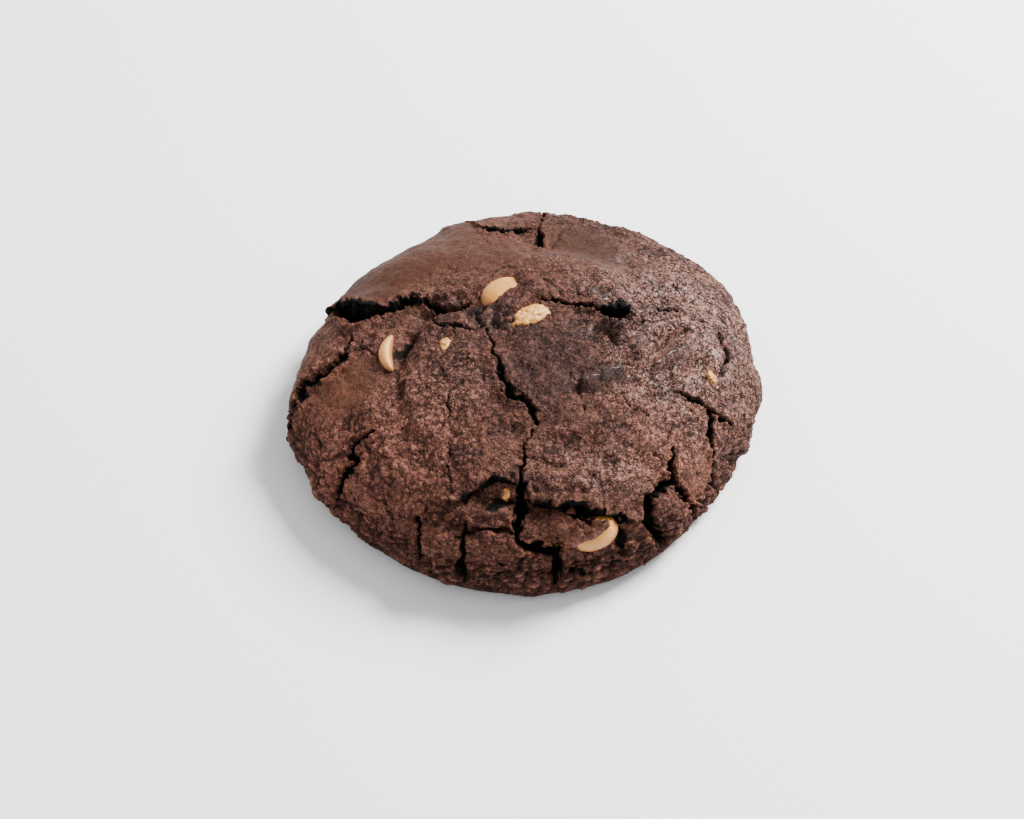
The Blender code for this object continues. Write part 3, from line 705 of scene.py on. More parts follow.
class BakedForm:
    """The cookie's body as a function from a ball to its crust."""

    RIM_RADII = mm(51.9, 53.5, 53.7, 51.3, 51.6, 49.1, 48.4, 48.8,
                   51.8, 53, 51.6, 52, 51.9, 51.7, 49.8, 50)
    DOME_HEIGHT = 29 * MM
    EDGE_HEIGHT = 7.5 * MM
    FOOT_INSET = 3.5 * MM
    CROWN_FALL = 2.2
    CROWN_ROUND = 1.65
    TOP_SHARE = 0.86
    WALL_SHARE = 0.965
    FOOT_FADE = 3.0 * MM
    UNDERCUT_TILT = 0.5
    ROUGHNESS = rows((14, 0.55), (6.5, 0.35), (3.2, 0.18))
    RIM_ROUGHNESS = rows((7, 0.7), (3.5, 0.45))
    JAGGEDNESS = rows((5, 0.7), (2.2, 0.45))
    RIM_BAND = mm(41.5, 52)
    BOX_EASE = 0.8 * MM
    BOX_EASED = 0.76 * MM
    # Painted shade: the lowest few millimetres of the crust, near the floor, are coloured darker.
    FOOT_SHADE_BAND = mm(3.5, 0.2)
    SMOOTH_ZONES = (
        Lump("back left slab", mm(-26, 27), mm(25, 13), 42, 1.0, 2.0),
        Lump("back of the dome", mm(-8, 24), mm(14, 9), 0, 0.8, 2.0),
        Lump("smooth back valley", mm(15, 27), mm(14, 8), -25, 1.0, 2.0),
        Lump("left flank", mm(-38, -9), mm(9, 7), 0, 0.75, 2.0),
        Lump("left slab", mm(-46, 9), mm(6, 8), 0, 0.6, 2.0),
        Lump("front peanut's cap", mm(11, -43.5), mm(5, 3), 10, 0.35, 2.0),
    )
    WET_ZONES = (
        Lump("streak over the chunk", mm(16.5, -12.2), mm(6, 2), 22, 1.0),
        Lump("chunk's handle", mm(22.5, -1.5), mm(4, 2.2), -60, 1.0),
        Lump("smear left of the handle", mm(16, 0.5), mm(2.6, 2), 0, 0.6),
        Lump("lip over the hole", mm(16.8, 9.3), mm(2.2, 1.4), -50, 1.0),
        Lump("rough patch on the right", mm(34, -3), mm(5, 3.6), 50, 0.6),
        Lump("edge of the fold", mm(31.5, -3.5), mm(6, 1.3), 46, 0.8),
        Lump("smear over the fold", mm(27, 0.5), mm(5, 1.2), 46, 0.5),
        Lump("pit by the peanuts", mm(-8, 2.5), mm(4, 2.6), 0, 0.8),
        Lump("floor of the tear", mm(-17, 7.5), mm(5, 3), 0, 0.8),
        Lump("ring crack on the right", mm(43, -1), mm(1.6, 4.5), 0, 0.7),
        Lump("smooth back valley", mm(20, 24), mm(8, 3.5), -30, 0.55),
    )
    TINTED_ZONES = (
        Lump("left flank", mm(-38.7, -13), mm(6.5, 4.5), 0, 0.6),
        Lump("thin crust, middle", mm(-2.5, -22.5), mm(1.5, 1.5), 0, 1.0),
        Lump("thin crust, left of the middle", mm(-6.5, -17.7), mm(2.2, 1.8), 0, 0.8),
        Lump("end of the tear", mm(-24, 13.5), mm(4, 2), 0, 0.6),
        Lump("front left lip", mm(-17, -43), mm(6, 3), -15, 0.7),
        Lump("left slab", mm(-46, 2), mm(3, 2), 0, 0.7),
        Lump("back left slab", mm(-30, 24), mm(12, 5), 42, 0.35),
        Lump("right hand corner", mm(39, -26), mm(3, 4), 0, 0.6),
        Lump("front split", mm(17, -46.5), mm(4, 1.5), 0, 0.7),
    )
    FOLDED_ZONES = (
        Lump("round the chunk", mm(24, -3), mm(13, 10), 40, 1.0, 1.5),
        Lump("above the front ridge", mm(22, -24), mm(14, 7), 20, 0.6, 1.5),
    )
    # Painted light: these zones make the crust's colour lighter, and the negative ones make it darker as
    # painted shade.
    PAINTED_LIGHT_ZONES = (
        Lump("lower left front", mm(-31, -30), mm(18, 17), 0, 0.95, 1.5),
        Lump("left rim", mm(-46, -6), mm(9, 18), 0, 0.9, 1.5),
        Lump("left lower rim", mm(-45, -28), mm(8, 11), -35, 0.9, 1.5),
        Lump("lower right", mm(34, -26), mm(14, 14), 0, 0.5, 1.5),
        Lump("front rim", mm(0, -50), mm(34, 7), 0, 0.55, 1.5),
        Lump("middle", mm(5, -9), mm(12, 13), 0, -0.55, 1.5),
        Lump("back right slab", mm(14, 32), mm(17, 10), -20, -0.3, 1.5),
    )
    # Zones of dusty crust that also carry a painted sheen: a paler, pinker colour where the light glints,
    # strongest on the right half.
    DUST_AND_SHEEN_ZONES = (
        Lump("right half", mm(34, 6), mm(20, 26), 0, 1.0, 1.5),
        Lump("left hump", mm(-17, -12), mm(12, 12), 0, 0.3, 1.5),
        Lump("middle", mm(6, -12), mm(12, 14), 0, 0.1, 1.5),
        Lump("front ridge", mm(14, -33), mm(16, 6), 8, 0.4, 1.5),
    )

    def __init__(self, crumb: Crumb) -> None:
        """Keeps the sizes of the fine relief."""
        self.crumb = crumb

    @classmethod
    def rim_radius(cls, angle: Array) -> Array:
        """The rim's radius at each angle, a smooth closed curve through the stations."""
        waves = np.fft.rfft(cls.RIM_RADII) / len(cls.RIM_RADII)
        radius = np.full(np.shape(angle), waves[0].real)
        for order in range(1, len(waves)):
            weight = 1 if order == len(cls.RIM_RADII) / 2 else 2
            turn = order * angle
            swing = waves[order].real * np.cos(turn) - waves[order].imag * np.sin(turn)
            radius = radius + weight * swing
        return radius

    @classmethod
    def dome(cls, share: Array) -> Array:
        """Height of the bare dome at a share of the rim radius."""
        rise = cls.DOME_HEIGHT - cls.EDGE_HEIGHT
        return cls.EDGE_HEIGHT + rise * (1 - share**cls.CROWN_FALL) ** (1 / cls.CROWN_ROUND)

    @classmethod
    def bare(cls, ball: Array) -> tuple[Array, Array, Array]:
        """The bare body for the points of a unit ball.

        Args:
            ball: The ball's points.

        Returns:
            The body's points, their outward normals, and their places on the skin laid flat.
        """
        angle = np.arctan2(ball[:, 1], ball[:, 0])
        depth_share = (1 - ball[:, 2]) / 2
        radius = cls.rim_radius(angle)
        top = np.clip(np.sqrt(depth_share / cls.TOP_SHARE), 0, 1)
        wall = np.clip((depth_share - cls.TOP_SHARE) / (cls.WALL_SHARE - cls.TOP_SHARE), 0, 1)
        foot = np.sqrt(np.clip((1 - depth_share) / (1 - cls.WALL_SHARE), 0, 1))
        on_wall = depth_share > cls.TOP_SHARE
        on_foot = depth_share > cls.WALL_SHARE

        under = radius - cls.FOOT_INSET + cls.FOOT_INSET * np.sqrt(1 - wall**2)
        out = np.where(on_wall, under, radius * top)
        out = np.where(on_foot, (radius - cls.FOOT_INSET) * foot, out)
        high = np.where(on_wall, cls.EDGE_HEIGHT * (1 - wall), cls.dome(top))
        high = np.where(on_foot, 0, high)

        nudge = 1e-3
        share = np.clip(top, nudge, 1 - nudge)
        slope = (cls.dome(share + nudge / 2) - cls.dome(share - nudge / 2)) / nudge / radius
        tilt = np.where(on_wall, math.pi / 2 + cls.UNDERCUT_TILT * wall, np.arctan2(-slope, 1))
        flatness = np.sin(tilt)
        normal = np.stack((flatness * np.cos(angle), flatness * np.sin(angle), np.cos(tilt)), 1)

        spread = np.where(on_wall, radius + cls.EDGE_HEIGHT * wall, out)
        points = np.stack((out * np.cos(angle), out * np.sin(angle), high), 1)
        flat = np.stack((spread * np.cos(angle), spread * np.sin(angle)), 1)
        return points, normal, flat

    @classmethod
    def zone(cls, flat: Array, patches: Iterable[Lump]) -> Array:
        """How far each place in plan lies in any of some patches, from 0 to 1."""
        inside = np.zeros(len(flat))
        for patch in patches:
            inside = np.maximum(inside, patch.over(flat))
        return np.clip(inside, 0, 1)

    @classmethod
    def inside(cls, points: Array) -> Array:
        """Points eased back into the solid model's box where they would stand out of it."""
        low, high = (np.array(corner) for corner in CAD_BOX)
        ease = cls.BOX_EASE
        over = np.maximum(points - (high - ease), 0)
        under = np.maximum(low + ease - points, 0)
        under[:, 2] = 0
        eased = points - over + under + cls.BOX_EASED * (np.tanh(over / ease) - np.tanh(under / ease))
        eased[:, 2] = np.maximum(eased[:, 2], 0)
        return eased

    def ragged(self, points: Array, flat: Array) -> tuple[Array, Array]:
        """Places in plan moved about unevenly, and the finer unevenness that edges add."""
        shifts = Unevenness.shifts
        return (flat + shifts(points, self.JAGGEDNESS, (Seed.JAGGED_X, Seed.JAGGED_Y)),
                shifts(points, self.crumb.jagged, (Seed.FINE_X, Seed.FINE_Y)))

    def on_walls(self, ball: Array) -> Array:
        """Whether each point of a unit ball comes to lie on a wall of a wider crack."""
        points, _, flat = self.bare(ball)
        flat, fine = self.ragged(points, flat)
        return Relief.on_walls(flat + fine)

    def begin(self, ball: Array) -> Skin:
        """Lays the body out with its broad swellings.

        Args:
            ball: Points of a unit ball.

        Returns:
            The crust, before its cracks and crumb.
        """
        crumb = self.crumb
        points, normal, bare_flat = self.bare(ball)
        flat, fine = self.ragged(points, bare_flat)
        height = Relief.soft(flat) + Relief.details(flat)
        height += Relief.covers(bare_flat + crumb.cover_jag * fine)
        height += Unevenness.layers(points, self.ROUGHNESS, Seed.ROUGHNESS)
        rim = smoothstep(*self.RIM_BAND, np.hypot(points[:, 0], points[:, 1]))
        height += rim * Unevenness.layers(points, self.RIM_ROUGHNESS, Seed.RIM)
        seeds = (Seed.WOBBLE_X, Seed.WOBBLE_Y, Seed.WOBBLE_Z)
        wobbled = points + Unevenness.shifts(points, crumb.wobble, seeds)
        smooth = self.zone(flat, self.SMOOTH_ZONES)
        crackled = 1 - crumb.smooth_hides * smooth
        groove = np.zeros(len(ball))
        return Skin(ball, points, normal, flat, fine, wobbled, rim, smooth, crackled, height, groove)

    def add_cracks(self, skin: Skin) -> tuple[Array, Array, Array]:
        """Opens the cracks and the hairlines.

        Args:
            skin: The crust so far.

        Returns:
            How far the cracks' lips lean, how much painted shade each point has, and how crumbly it is.
        """
        crumb = self.crumb
        _, jag = Unevenness.plates(skin.points, crumb.jag_size, Seed.JAGS)
        gap, grit = Unevenness.plates(skin.points, crumb.lip_crumb_size, Seed.LIP_CRUMBS)
        grit = crumb.lip_crumb * (0.5 + 0.5 * grit) * smoothstep(*crumb.lip_crumb_edge, gap)
        cut, lean, crack_shade, crumbly = Relief.cracks(skin.flat + skin.fine, crumb.jag * jag, grit)
        hairline = Relief.hairlines(skin.flat + skin.fine)
        skin.height += cut - crumb.hairline_depth * hairline
        skin.carve(hairline)
        return lean, crack_shade, crumbly

    def add_crackle(self, skin: Skin) -> Array:
        """Parts the crust into plates, with creases and grains on them.

        Args:
            skin: The crust so far.

        Returns:
            A value from -1 to 1 for the plate that each point is on.
        """
        crumb = self.crumb
        noise = Unevenness
        crackled = skin.crackled
        border, plate = noise.plates(skin.wobbled, crumb.plate_size, Seed.PLATES)
        small_border, _ = noise.plates(skin.wobbled, crumb.small_plate_size, Seed.SMALL_PLATES)
        strength = smoothstep(-0.5, 0.5, noise.soft(skin.points, crumb.faint_grooves_size, Seed.STRENGTH))
        strength = strength * (1 - crumb.faintest_groove) + crumb.faintest_groove
        groove = smoothstep(*crumb.groove_edge, border) * crackled * strength
        small_groove = smoothstep(*crumb.small_groove_edge, small_border) * crackled
        skin.height += crackled * (crumb.plate_tilt * plate - crumb.groove_depth * groove)
        skin.height -= crumb.small_groove_depth * small_groove
        skin.carve(groove)
        skin.carve(crumb.small_groove_mark * small_groove)
        for index, (size, rise) in enumerate(crumb.creases):
            bump = np.abs(noise.soft(skin.wobbled, size, Seed.CREASES + index))
            skin.height += rise * (bump - crumb.middle_reading) * (0.25 + 0.75 * crackled)
            skin.carve(crumb.crease_marks[index] * smoothstep(*crumb.crease_edge, bump) * crackled)
        skin.height += noise.layers(skin.points, crumb.grains, Seed.GRAINS) * (0.5 + 0.5 * crackled)
        return plate

    def add_blocks(self, skin: Skin) -> None:
        """Breaks the front rim into flaky blocks."""
        crumb = self.crumb
        high = skin.points[:, 2]
        front = smoothstep(*crumb.block_side, skin.ball[:, 1]) * smoothstep(*crumb.block_top, high)
        front *= smoothstep(*crumb.block_foot, high)
        squashed = skin.wobbled * np.array(crumb.block_squash)
        border, block = Unevenness.plates(squashed, crumb.block_size, Seed.BLOCKS)
        crevice = smoothstep(*crumb.block_edge, border) * front
        skin.height += crumb.block_depth * (0.5 * front * block - crevice)
        skin.carve(crevice)

    def add_folds(self, skin: Skin) -> None:
        """Raises the diagonal folds on the right, and soft swells all over."""
        crumb = self.crumb
        noise = Unevenness
        inner = 1 - skin.rim
        folds = self.zone(skin.flat, self.FOLDED_ZONES) * inner
        x, y = skin.points[:, :1], skin.points[:, 1:2]
        along = (x + y) / math.sqrt(2) / crumb.fold_along
        across = (y - x) / math.sqrt(2) / crumb.fold_across
        warp = crumb.fold_warp * noise.soft(skin.points, crumb.fold_warp_size, Seed.FOLD_WARP)[:, None]
        fold = np.abs(noise.soft(np.hstack((along, across, 0 * along)) + warp, 1.0, Seed.FOLDS))
        skin.height += crumb.fold_height * folds * (fold - crumb.middle_reading)
        swell = noise.layers(skin.points, crumb.swells, Seed.SWELLS)
        skin.height += swell * skin.crackled * (0.4 + 0.6 * inner)
        skin.carve(crumb.fold_mark * folds * smoothstep(*crumb.crease_edge, fold))

    def finished(self, ball: Array) -> tuple[Array, dict[str, Array]]:
        """The crust for the points of a unit ball.

        Args:
            ball: The ball's points.

        Returns:
            The crust's points, and what its finish reads at each, by name.
        """
        skin = self.begin(ball)
        lean, crack_shade, crumbly = self.add_cracks(skin)
        plate = self.add_crackle(skin)
        self.add_blocks(skin)
        self.add_folds(skin)

        kept = smoothstep(0, self.FOOT_FADE, skin.points[:, 2])
        made = skin.points + skin.normal * (skin.height * kept)[:, None]
        made[:, :2] += lean * kept[:, None]
        shake = Unevenness.shifts(made, self.crumb.wall_crumb, (Seed.WALL_X, Seed.WALL_Y, Seed.WALL_Z))
        made = self.inside(made + shake * (crack_shade * kept)[:, None])
        marks = {
            # Painted shade inside the cracks and in the listed pits and hollows.
            "gash": np.maximum(crack_shade, self.zone(skin.flat + 2 * skin.fine, Relief.PAINTED_SHADE_SPOTS)),
            "crumbly": crumbly,
            "groove": skin.groove,
            "smooth": skin.smooth,
            # Painted shade towards the foot.
            "low": smoothstep(*self.FOOT_SHADE_BAND, made[:, 2]),
            "plate": 0.5 + 0.5 * plate,
            "wet": self.zone(skin.flat, self.WET_ZONES),
            "tint": self.zone(skin.flat, self.TINTED_ZONES),
            # Dust and painted sheen, by zone.
            "dry": self.zone(skin.flat, self.DUST_AND_SHEEN_ZONES),
            # Painted light and painted shade, by zone.
            "light": sum(patch.over(skin.flat) for patch in self.PAINTED_LIGHT_ZONES),
        }
        return made, marks


class Bench:
    """The few modelling steps that every piece uses."""

    @staticmethod
    def clear_selection() -> None:
        """Deselects everything, because operators act on all that is selected."""
        bpy.ops.object.select_all(action="DESELECT")

    @classmethod
    def begin(cls, name: str) -> bpy.types.Object:
        """Names the primitive that was just added and leaves it the only one selected."""
        made = bpy.context.active_object
        cls.clear_selection()
        made.select_set(True)
        bpy.context.view_layer.objects.active = made
        made.name = name
        made.data.name = name
        return made

    @staticmethod
    def points(made: bpy.types.Object) -> Array:
        """The vertices of a piece as an array."""
        values = np.empty(len(made.data.vertices) * 3, dtype=np.float32)
        made.data.vertices.foreach_get("co", values)
        return values.reshape(-1, 3).astype(float)

    @staticmethod
    def move(made: bpy.types.Object, points: Array) -> None:
        """Puts the vertices of a piece at new points."""
        made.data.vertices.foreach_set("co", points.astype(np.float32).ravel())
        made.data.update()

    @classmethod
    def split_faces(cls, made: bpy.types.Object, chosen: Array) -> None:
        """Splits the faces between chosen vertices in four.

        Args:
            made: The piece, a ball.
            chosen: Whether each vertex is chosen.
        """
        mesh = made.data
        mesh.polygons.foreach_set("select", np.zeros(len(mesh.polygons), dtype=bool))
        mesh.edges.foreach_set("select", np.zeros(len(mesh.edges), dtype=bool))
        mesh.vertices.foreach_set("select", chosen)
        bpy.ops.object.mode_set(mode="EDIT")
        bpy.ops.mesh.select_mode(type="VERT")
        bpy.ops.mesh.subdivide(number_cuts=1)
        bpy.ops.object.mode_set(mode="OBJECT")
        ball = cls.points(made)
        cls.move(made, ball / np.linalg.norm(ball, axis=1)[:, None])

    @staticmethod
    def mark(made: bpy.types.Object, name: str, values: Array) -> None:
        """Writes a value for each vertex, for the finish to read."""
        layer = made.data.attributes.new(name, "FLOAT", "POINT")
        layer.data.foreach_set("value", values.astype(np.float32))

    @staticmethod
    def apply(made: bpy.types.Object, kind: str, **settings: Any) -> None:
        """Adds a modifier and applies it.

        Args:
            made: The piece.
            kind: The modifier's type.
            settings: Its settings by name.
        """
        modifier = made.modifiers.new(kind.lower(), kind)
        for name, value in settings.items():
            setattr(modifier, name, value)
        bpy.context.view_layer.objects.active = made
        bpy.ops.object.modifier_apply(modifier=modifier.name)


class Wire:
    """A shader value that sums can be written with."""

    def __init__(self, paint: "Paint", socket: Any) -> None:
        """Keeps the socket and the material that it belongs to."""
        self.paint = paint
        self.socket = socket

    def _sum(self, operation: str, first: Any, second: Any) -> "Wire":
        """A Math node on two values."""
        return self.paint.node("ShaderNodeMath", {"operation": operation}, {0: first, 1: second})

    def __add__(self, other: Any) -> "Wire":
        """self + other."""
        return self._sum("ADD", self, other)

    def __radd__(self, other: Any) -> "Wire":
        """other + self."""
        return self._sum("ADD", other, self)

    def __sub__(self, other: Any) -> "Wire":
        """self - other."""
        return self._sum("SUBTRACT", self, other)

    def __rsub__(self, other: Any) -> "Wire":
        """other - self."""
        return self._sum("SUBTRACT", other, self)

    def __mul__(self, other: Any) -> "Wire":
        """self * other."""
        return self._sum("MULTIPLY", self, other)

    def __rmul__(self, other: Any) -> "Wire":
        """other * self."""
        return self._sum("MULTIPLY", other, self)

    def clamp(self) -> "Wire":
        """self held between 0 and 1."""
        return self.paint.node("ShaderNodeClamp", {}, {0: self})

    def ramp(self, low: float, high: float) -> "Wire":
        """0 below low and 1 above high, eased between."""
        settings = {"interpolation_type": "SMOOTHSTEP"}
        return self.paint.node("ShaderNodeMapRange", settings, {0: self, 1: low, 2: high, 3: 0.0, 4: 1.0})


class Paint:
    """A material being made, node by node."""

    def __init__(self, name: str) -> None:
        """Starts a material with only its output and its Principled shader."""
        self.material = bpy.data.materials.new(name)
        self.material.use_nodes = True
        self.tree = self.material.node_tree
        self.shader = self.tree.nodes["Principled BSDF"]

    def node(self, kind: str, settings: dict[str, Any], inputs: dict[Any, Any], output: Any = 0) -> Wire:
        """Adds any node.

        Args:
            kind: The node's type.
            settings: Its settings, set first.
            inputs: Values or wires for its sockets, by name or number.
            output: The socket that the wire comes from.

        Returns:
            A wire from that socket.
        """
        made = self.tree.nodes.new(kind)
        for name, value in settings.items():
            setattr(made, name, value)
        for name, value in inputs.items():
            self.feed(made.inputs[name], value)
        return Wire(self, made.outputs[output])

    def feed(self, socket: Any, value: Any) -> None:
        """Links a wire to a socket, or sets a plain value on it."""
        if isinstance(value, Wire):
            self.tree.links.new(value.socket, socket)
        elif isinstance(value, tuple) and len(value) == 3 and socket.type == "RGBA":
            socket.default_value = (*value, 1)
        else:
            socket.default_value = value

    def attribute(self, name: str) -> Wire:
        """A value written on the mesh."""
        return self.node("ShaderNodeAttribute", {"attribute_name": name}, {}, "Fac")

    def places(self) -> Wire:
        """Object coordinates."""
        return self.node("ShaderNodeTexCoord", {}, {}, "Object")

    def vector_math(self, operation: str, inputs: dict[Any, Any]) -> Wire:
        """A Vector Math node."""
        return self.node("ShaderNodeVectorMath", {"operation": operation}, inputs)

    def warped(self, size: float, reach: float) -> Wire:
        """Object coordinates moved about by noise, so that patterns on them run unevenly.

        Args:
            size: The size of the noise's swells.
            reach: How far places are moved.

        Returns:
            The moved coordinates.
        """
        inputs = {"Vector": self.places(), "Scale": 1 / size, "Detail": 3.0}
        noise = self.node("ShaderNodeTexNoise", {}, inputs, "Color")
        centred = self.vector_math("SUBTRACT", {0: noise, 1: (0.5, 0.5, 0.5)})
        scaled = self.vector_math("SCALE", {0: centred, "Scale": 4 * reach})
        return self.vector_math("ADD", {0: self.places(), 1: scaled})

    def noise(self, size: float, detail: float = 2.0, roughness: float = 0.5) -> Wire:
        """Soft noise whose swells have that size in metres."""
        inputs = {"Vector": self.places(), "Scale": 1 / size, "Detail": detail, "Roughness": roughness}
        return self.node("ShaderNodeTexNoise", {}, inputs, "Fac")

    def cells(self, size: float, feature: str, output: str, places: Wire) -> Wire:
        """A Voronoi pattern whose cells have that size in metres."""
        inputs = {"Vector": places, "Scale": 1 / size}
        return self.node("ShaderNodeTexVoronoi", {"feature": feature}, inputs, output)

    def mix(self, factor: Any, first: Any, second: Any) -> Wire:
        """Two colours mixed by a factor."""
        return self.node("ShaderNodeMix", {"data_type": "RGBA"}, {0: factor, 6: first, 7: second}, 2)

    def scaled(self, colour: Wire, factor: Wire) -> Wire:
        """A colour made lighter or darker."""
        return self.vector_math("SCALE", {0: colour, "Scale": factor})

    def bump(self, height: Wire, depth: float, strength: float = 1.0) -> Wire:
        """A Bump node for relief finer than the mesh."""
        inputs = {"Strength": strength, "Distance": depth, "Height": height}
        return self.node("ShaderNodeBump", {}, inputs)

    def dress(self, made: bpy.types.Object, sockets: dict[str, Any]) -> None:
        """Feeds the Principled shader and puts the material on a piece.

        Args:
            made: The piece.
            sockets: Values or wires for the shader's sockets.
        """
        for name, value in sockets.items():
            self.feed(self.shader.inputs[name], value)
        made.data.materials.clear()
        made.data.materials.append(self.material)


@dataclass(frozen=True)
class Crackle:
    """Fine cracks that part a crust into plates: plate size, line width in plates, and strength."""

    size: float
    width: float
    strength: float

    def lines(self, paint: Paint, places: Wire) -> Wire:
        """Draws the cracks, broken up so that they come and go.

        Args:
            paint: The material being made.
            places: Where the pattern is read.

        Returns:
            1 in a crack and 0 on a plate.
        """
        edge = paint.cells(self.size, "DISTANCE_TO_EDGE", "Distance", places)
        shown = paint.noise(2.2 * self.size, 3.0, 0.6).ramp(0.40, 0.56)
        return (1 - edge.ramp(0.0, self.width)) * shown * self.strength


class DoughSurface:
    """What the crust's finish reads: the values written on its mesh, and its fine patterns."""

    WARP_SIZE = 0.9 * MM
    WARP_REACH = 0.28 * MM
    PATCH_SIZE = 8 * MM
    FLECK_SIZE = 1.1 * MM
    SWELL_SIZE = 1.15 * MM
    GRAIN_SIZE = 0.22 * MM
    MIDDLE = 0.54

    def __init__(self, paint: Paint, crackles: Iterable[Crackle], pebble_size: float) -> None:
        """Reads the values and makes the patterns.

        Args:
            paint: The material being made.
            crackles: The crust's crackle, from coarse to fine.
            pebble_size: The width of a coarse grain.
        """
        # Painted shade inside cracks and pits.
        self.gash = paint.attribute("gash")
        self.crumbly = paint.attribute("crumbly")
        self.groove = paint.attribute("groove")
        self.smooth = paint.attribute("smooth")
        # Painted shade towards the foot.
        self.low = paint.attribute("low")
        self.plate = paint.attribute("plate")
        self.wet = paint.attribute("wet")
        self.tinted = paint.attribute("tint")
        # Dust and painted sheen, by zone.
        self.dust_and_sheen_zone = paint.attribute("dry")
        # Painted light and painted shade, by zone.
        self.light = paint.attribute("light")

        places = paint.warped(self.WARP_SIZE, self.WARP_REACH)
        lines = sum(crackle.lines(paint, places) for crackle in crackles)
        # The finish colours the crackle lines darker as painted shade.
        self.lines = (lines * (1 - 0.65 * self.smooth)).clamp()
        self.patch = paint.noise(self.PATCH_SIZE, 4.0, 0.6)
        self.fleck = paint.noise(self.FLECK_SIZE, 3.0, 0.6)
        self.swell = paint.noise(self.SWELL_SIZE, 5.0, 0.72)
        self.pebble = 1 - paint.cells(pebble_size, "F1", "Distance", places)
        self.grain = paint.noise(self.GRAIN_SIZE, 2.0, 0.6)
        level = 0.62 * self.swell + 0.26 * self.pebble + 0.22 * self.grain
        level = self.MIDDLE + (level - self.MIDDLE) * (1 + 1.3 * self.dust_and_sheen_zone)
        # high and hollow are the tops and hollows of the fine grain; the colour makes the tops lighter as
        # painted highlight and the hollows darker as painted shade.
        self.high = level.ramp(0.42, 0.72)
        self.hollow = 1 - level.ramp(0.36, 0.54)


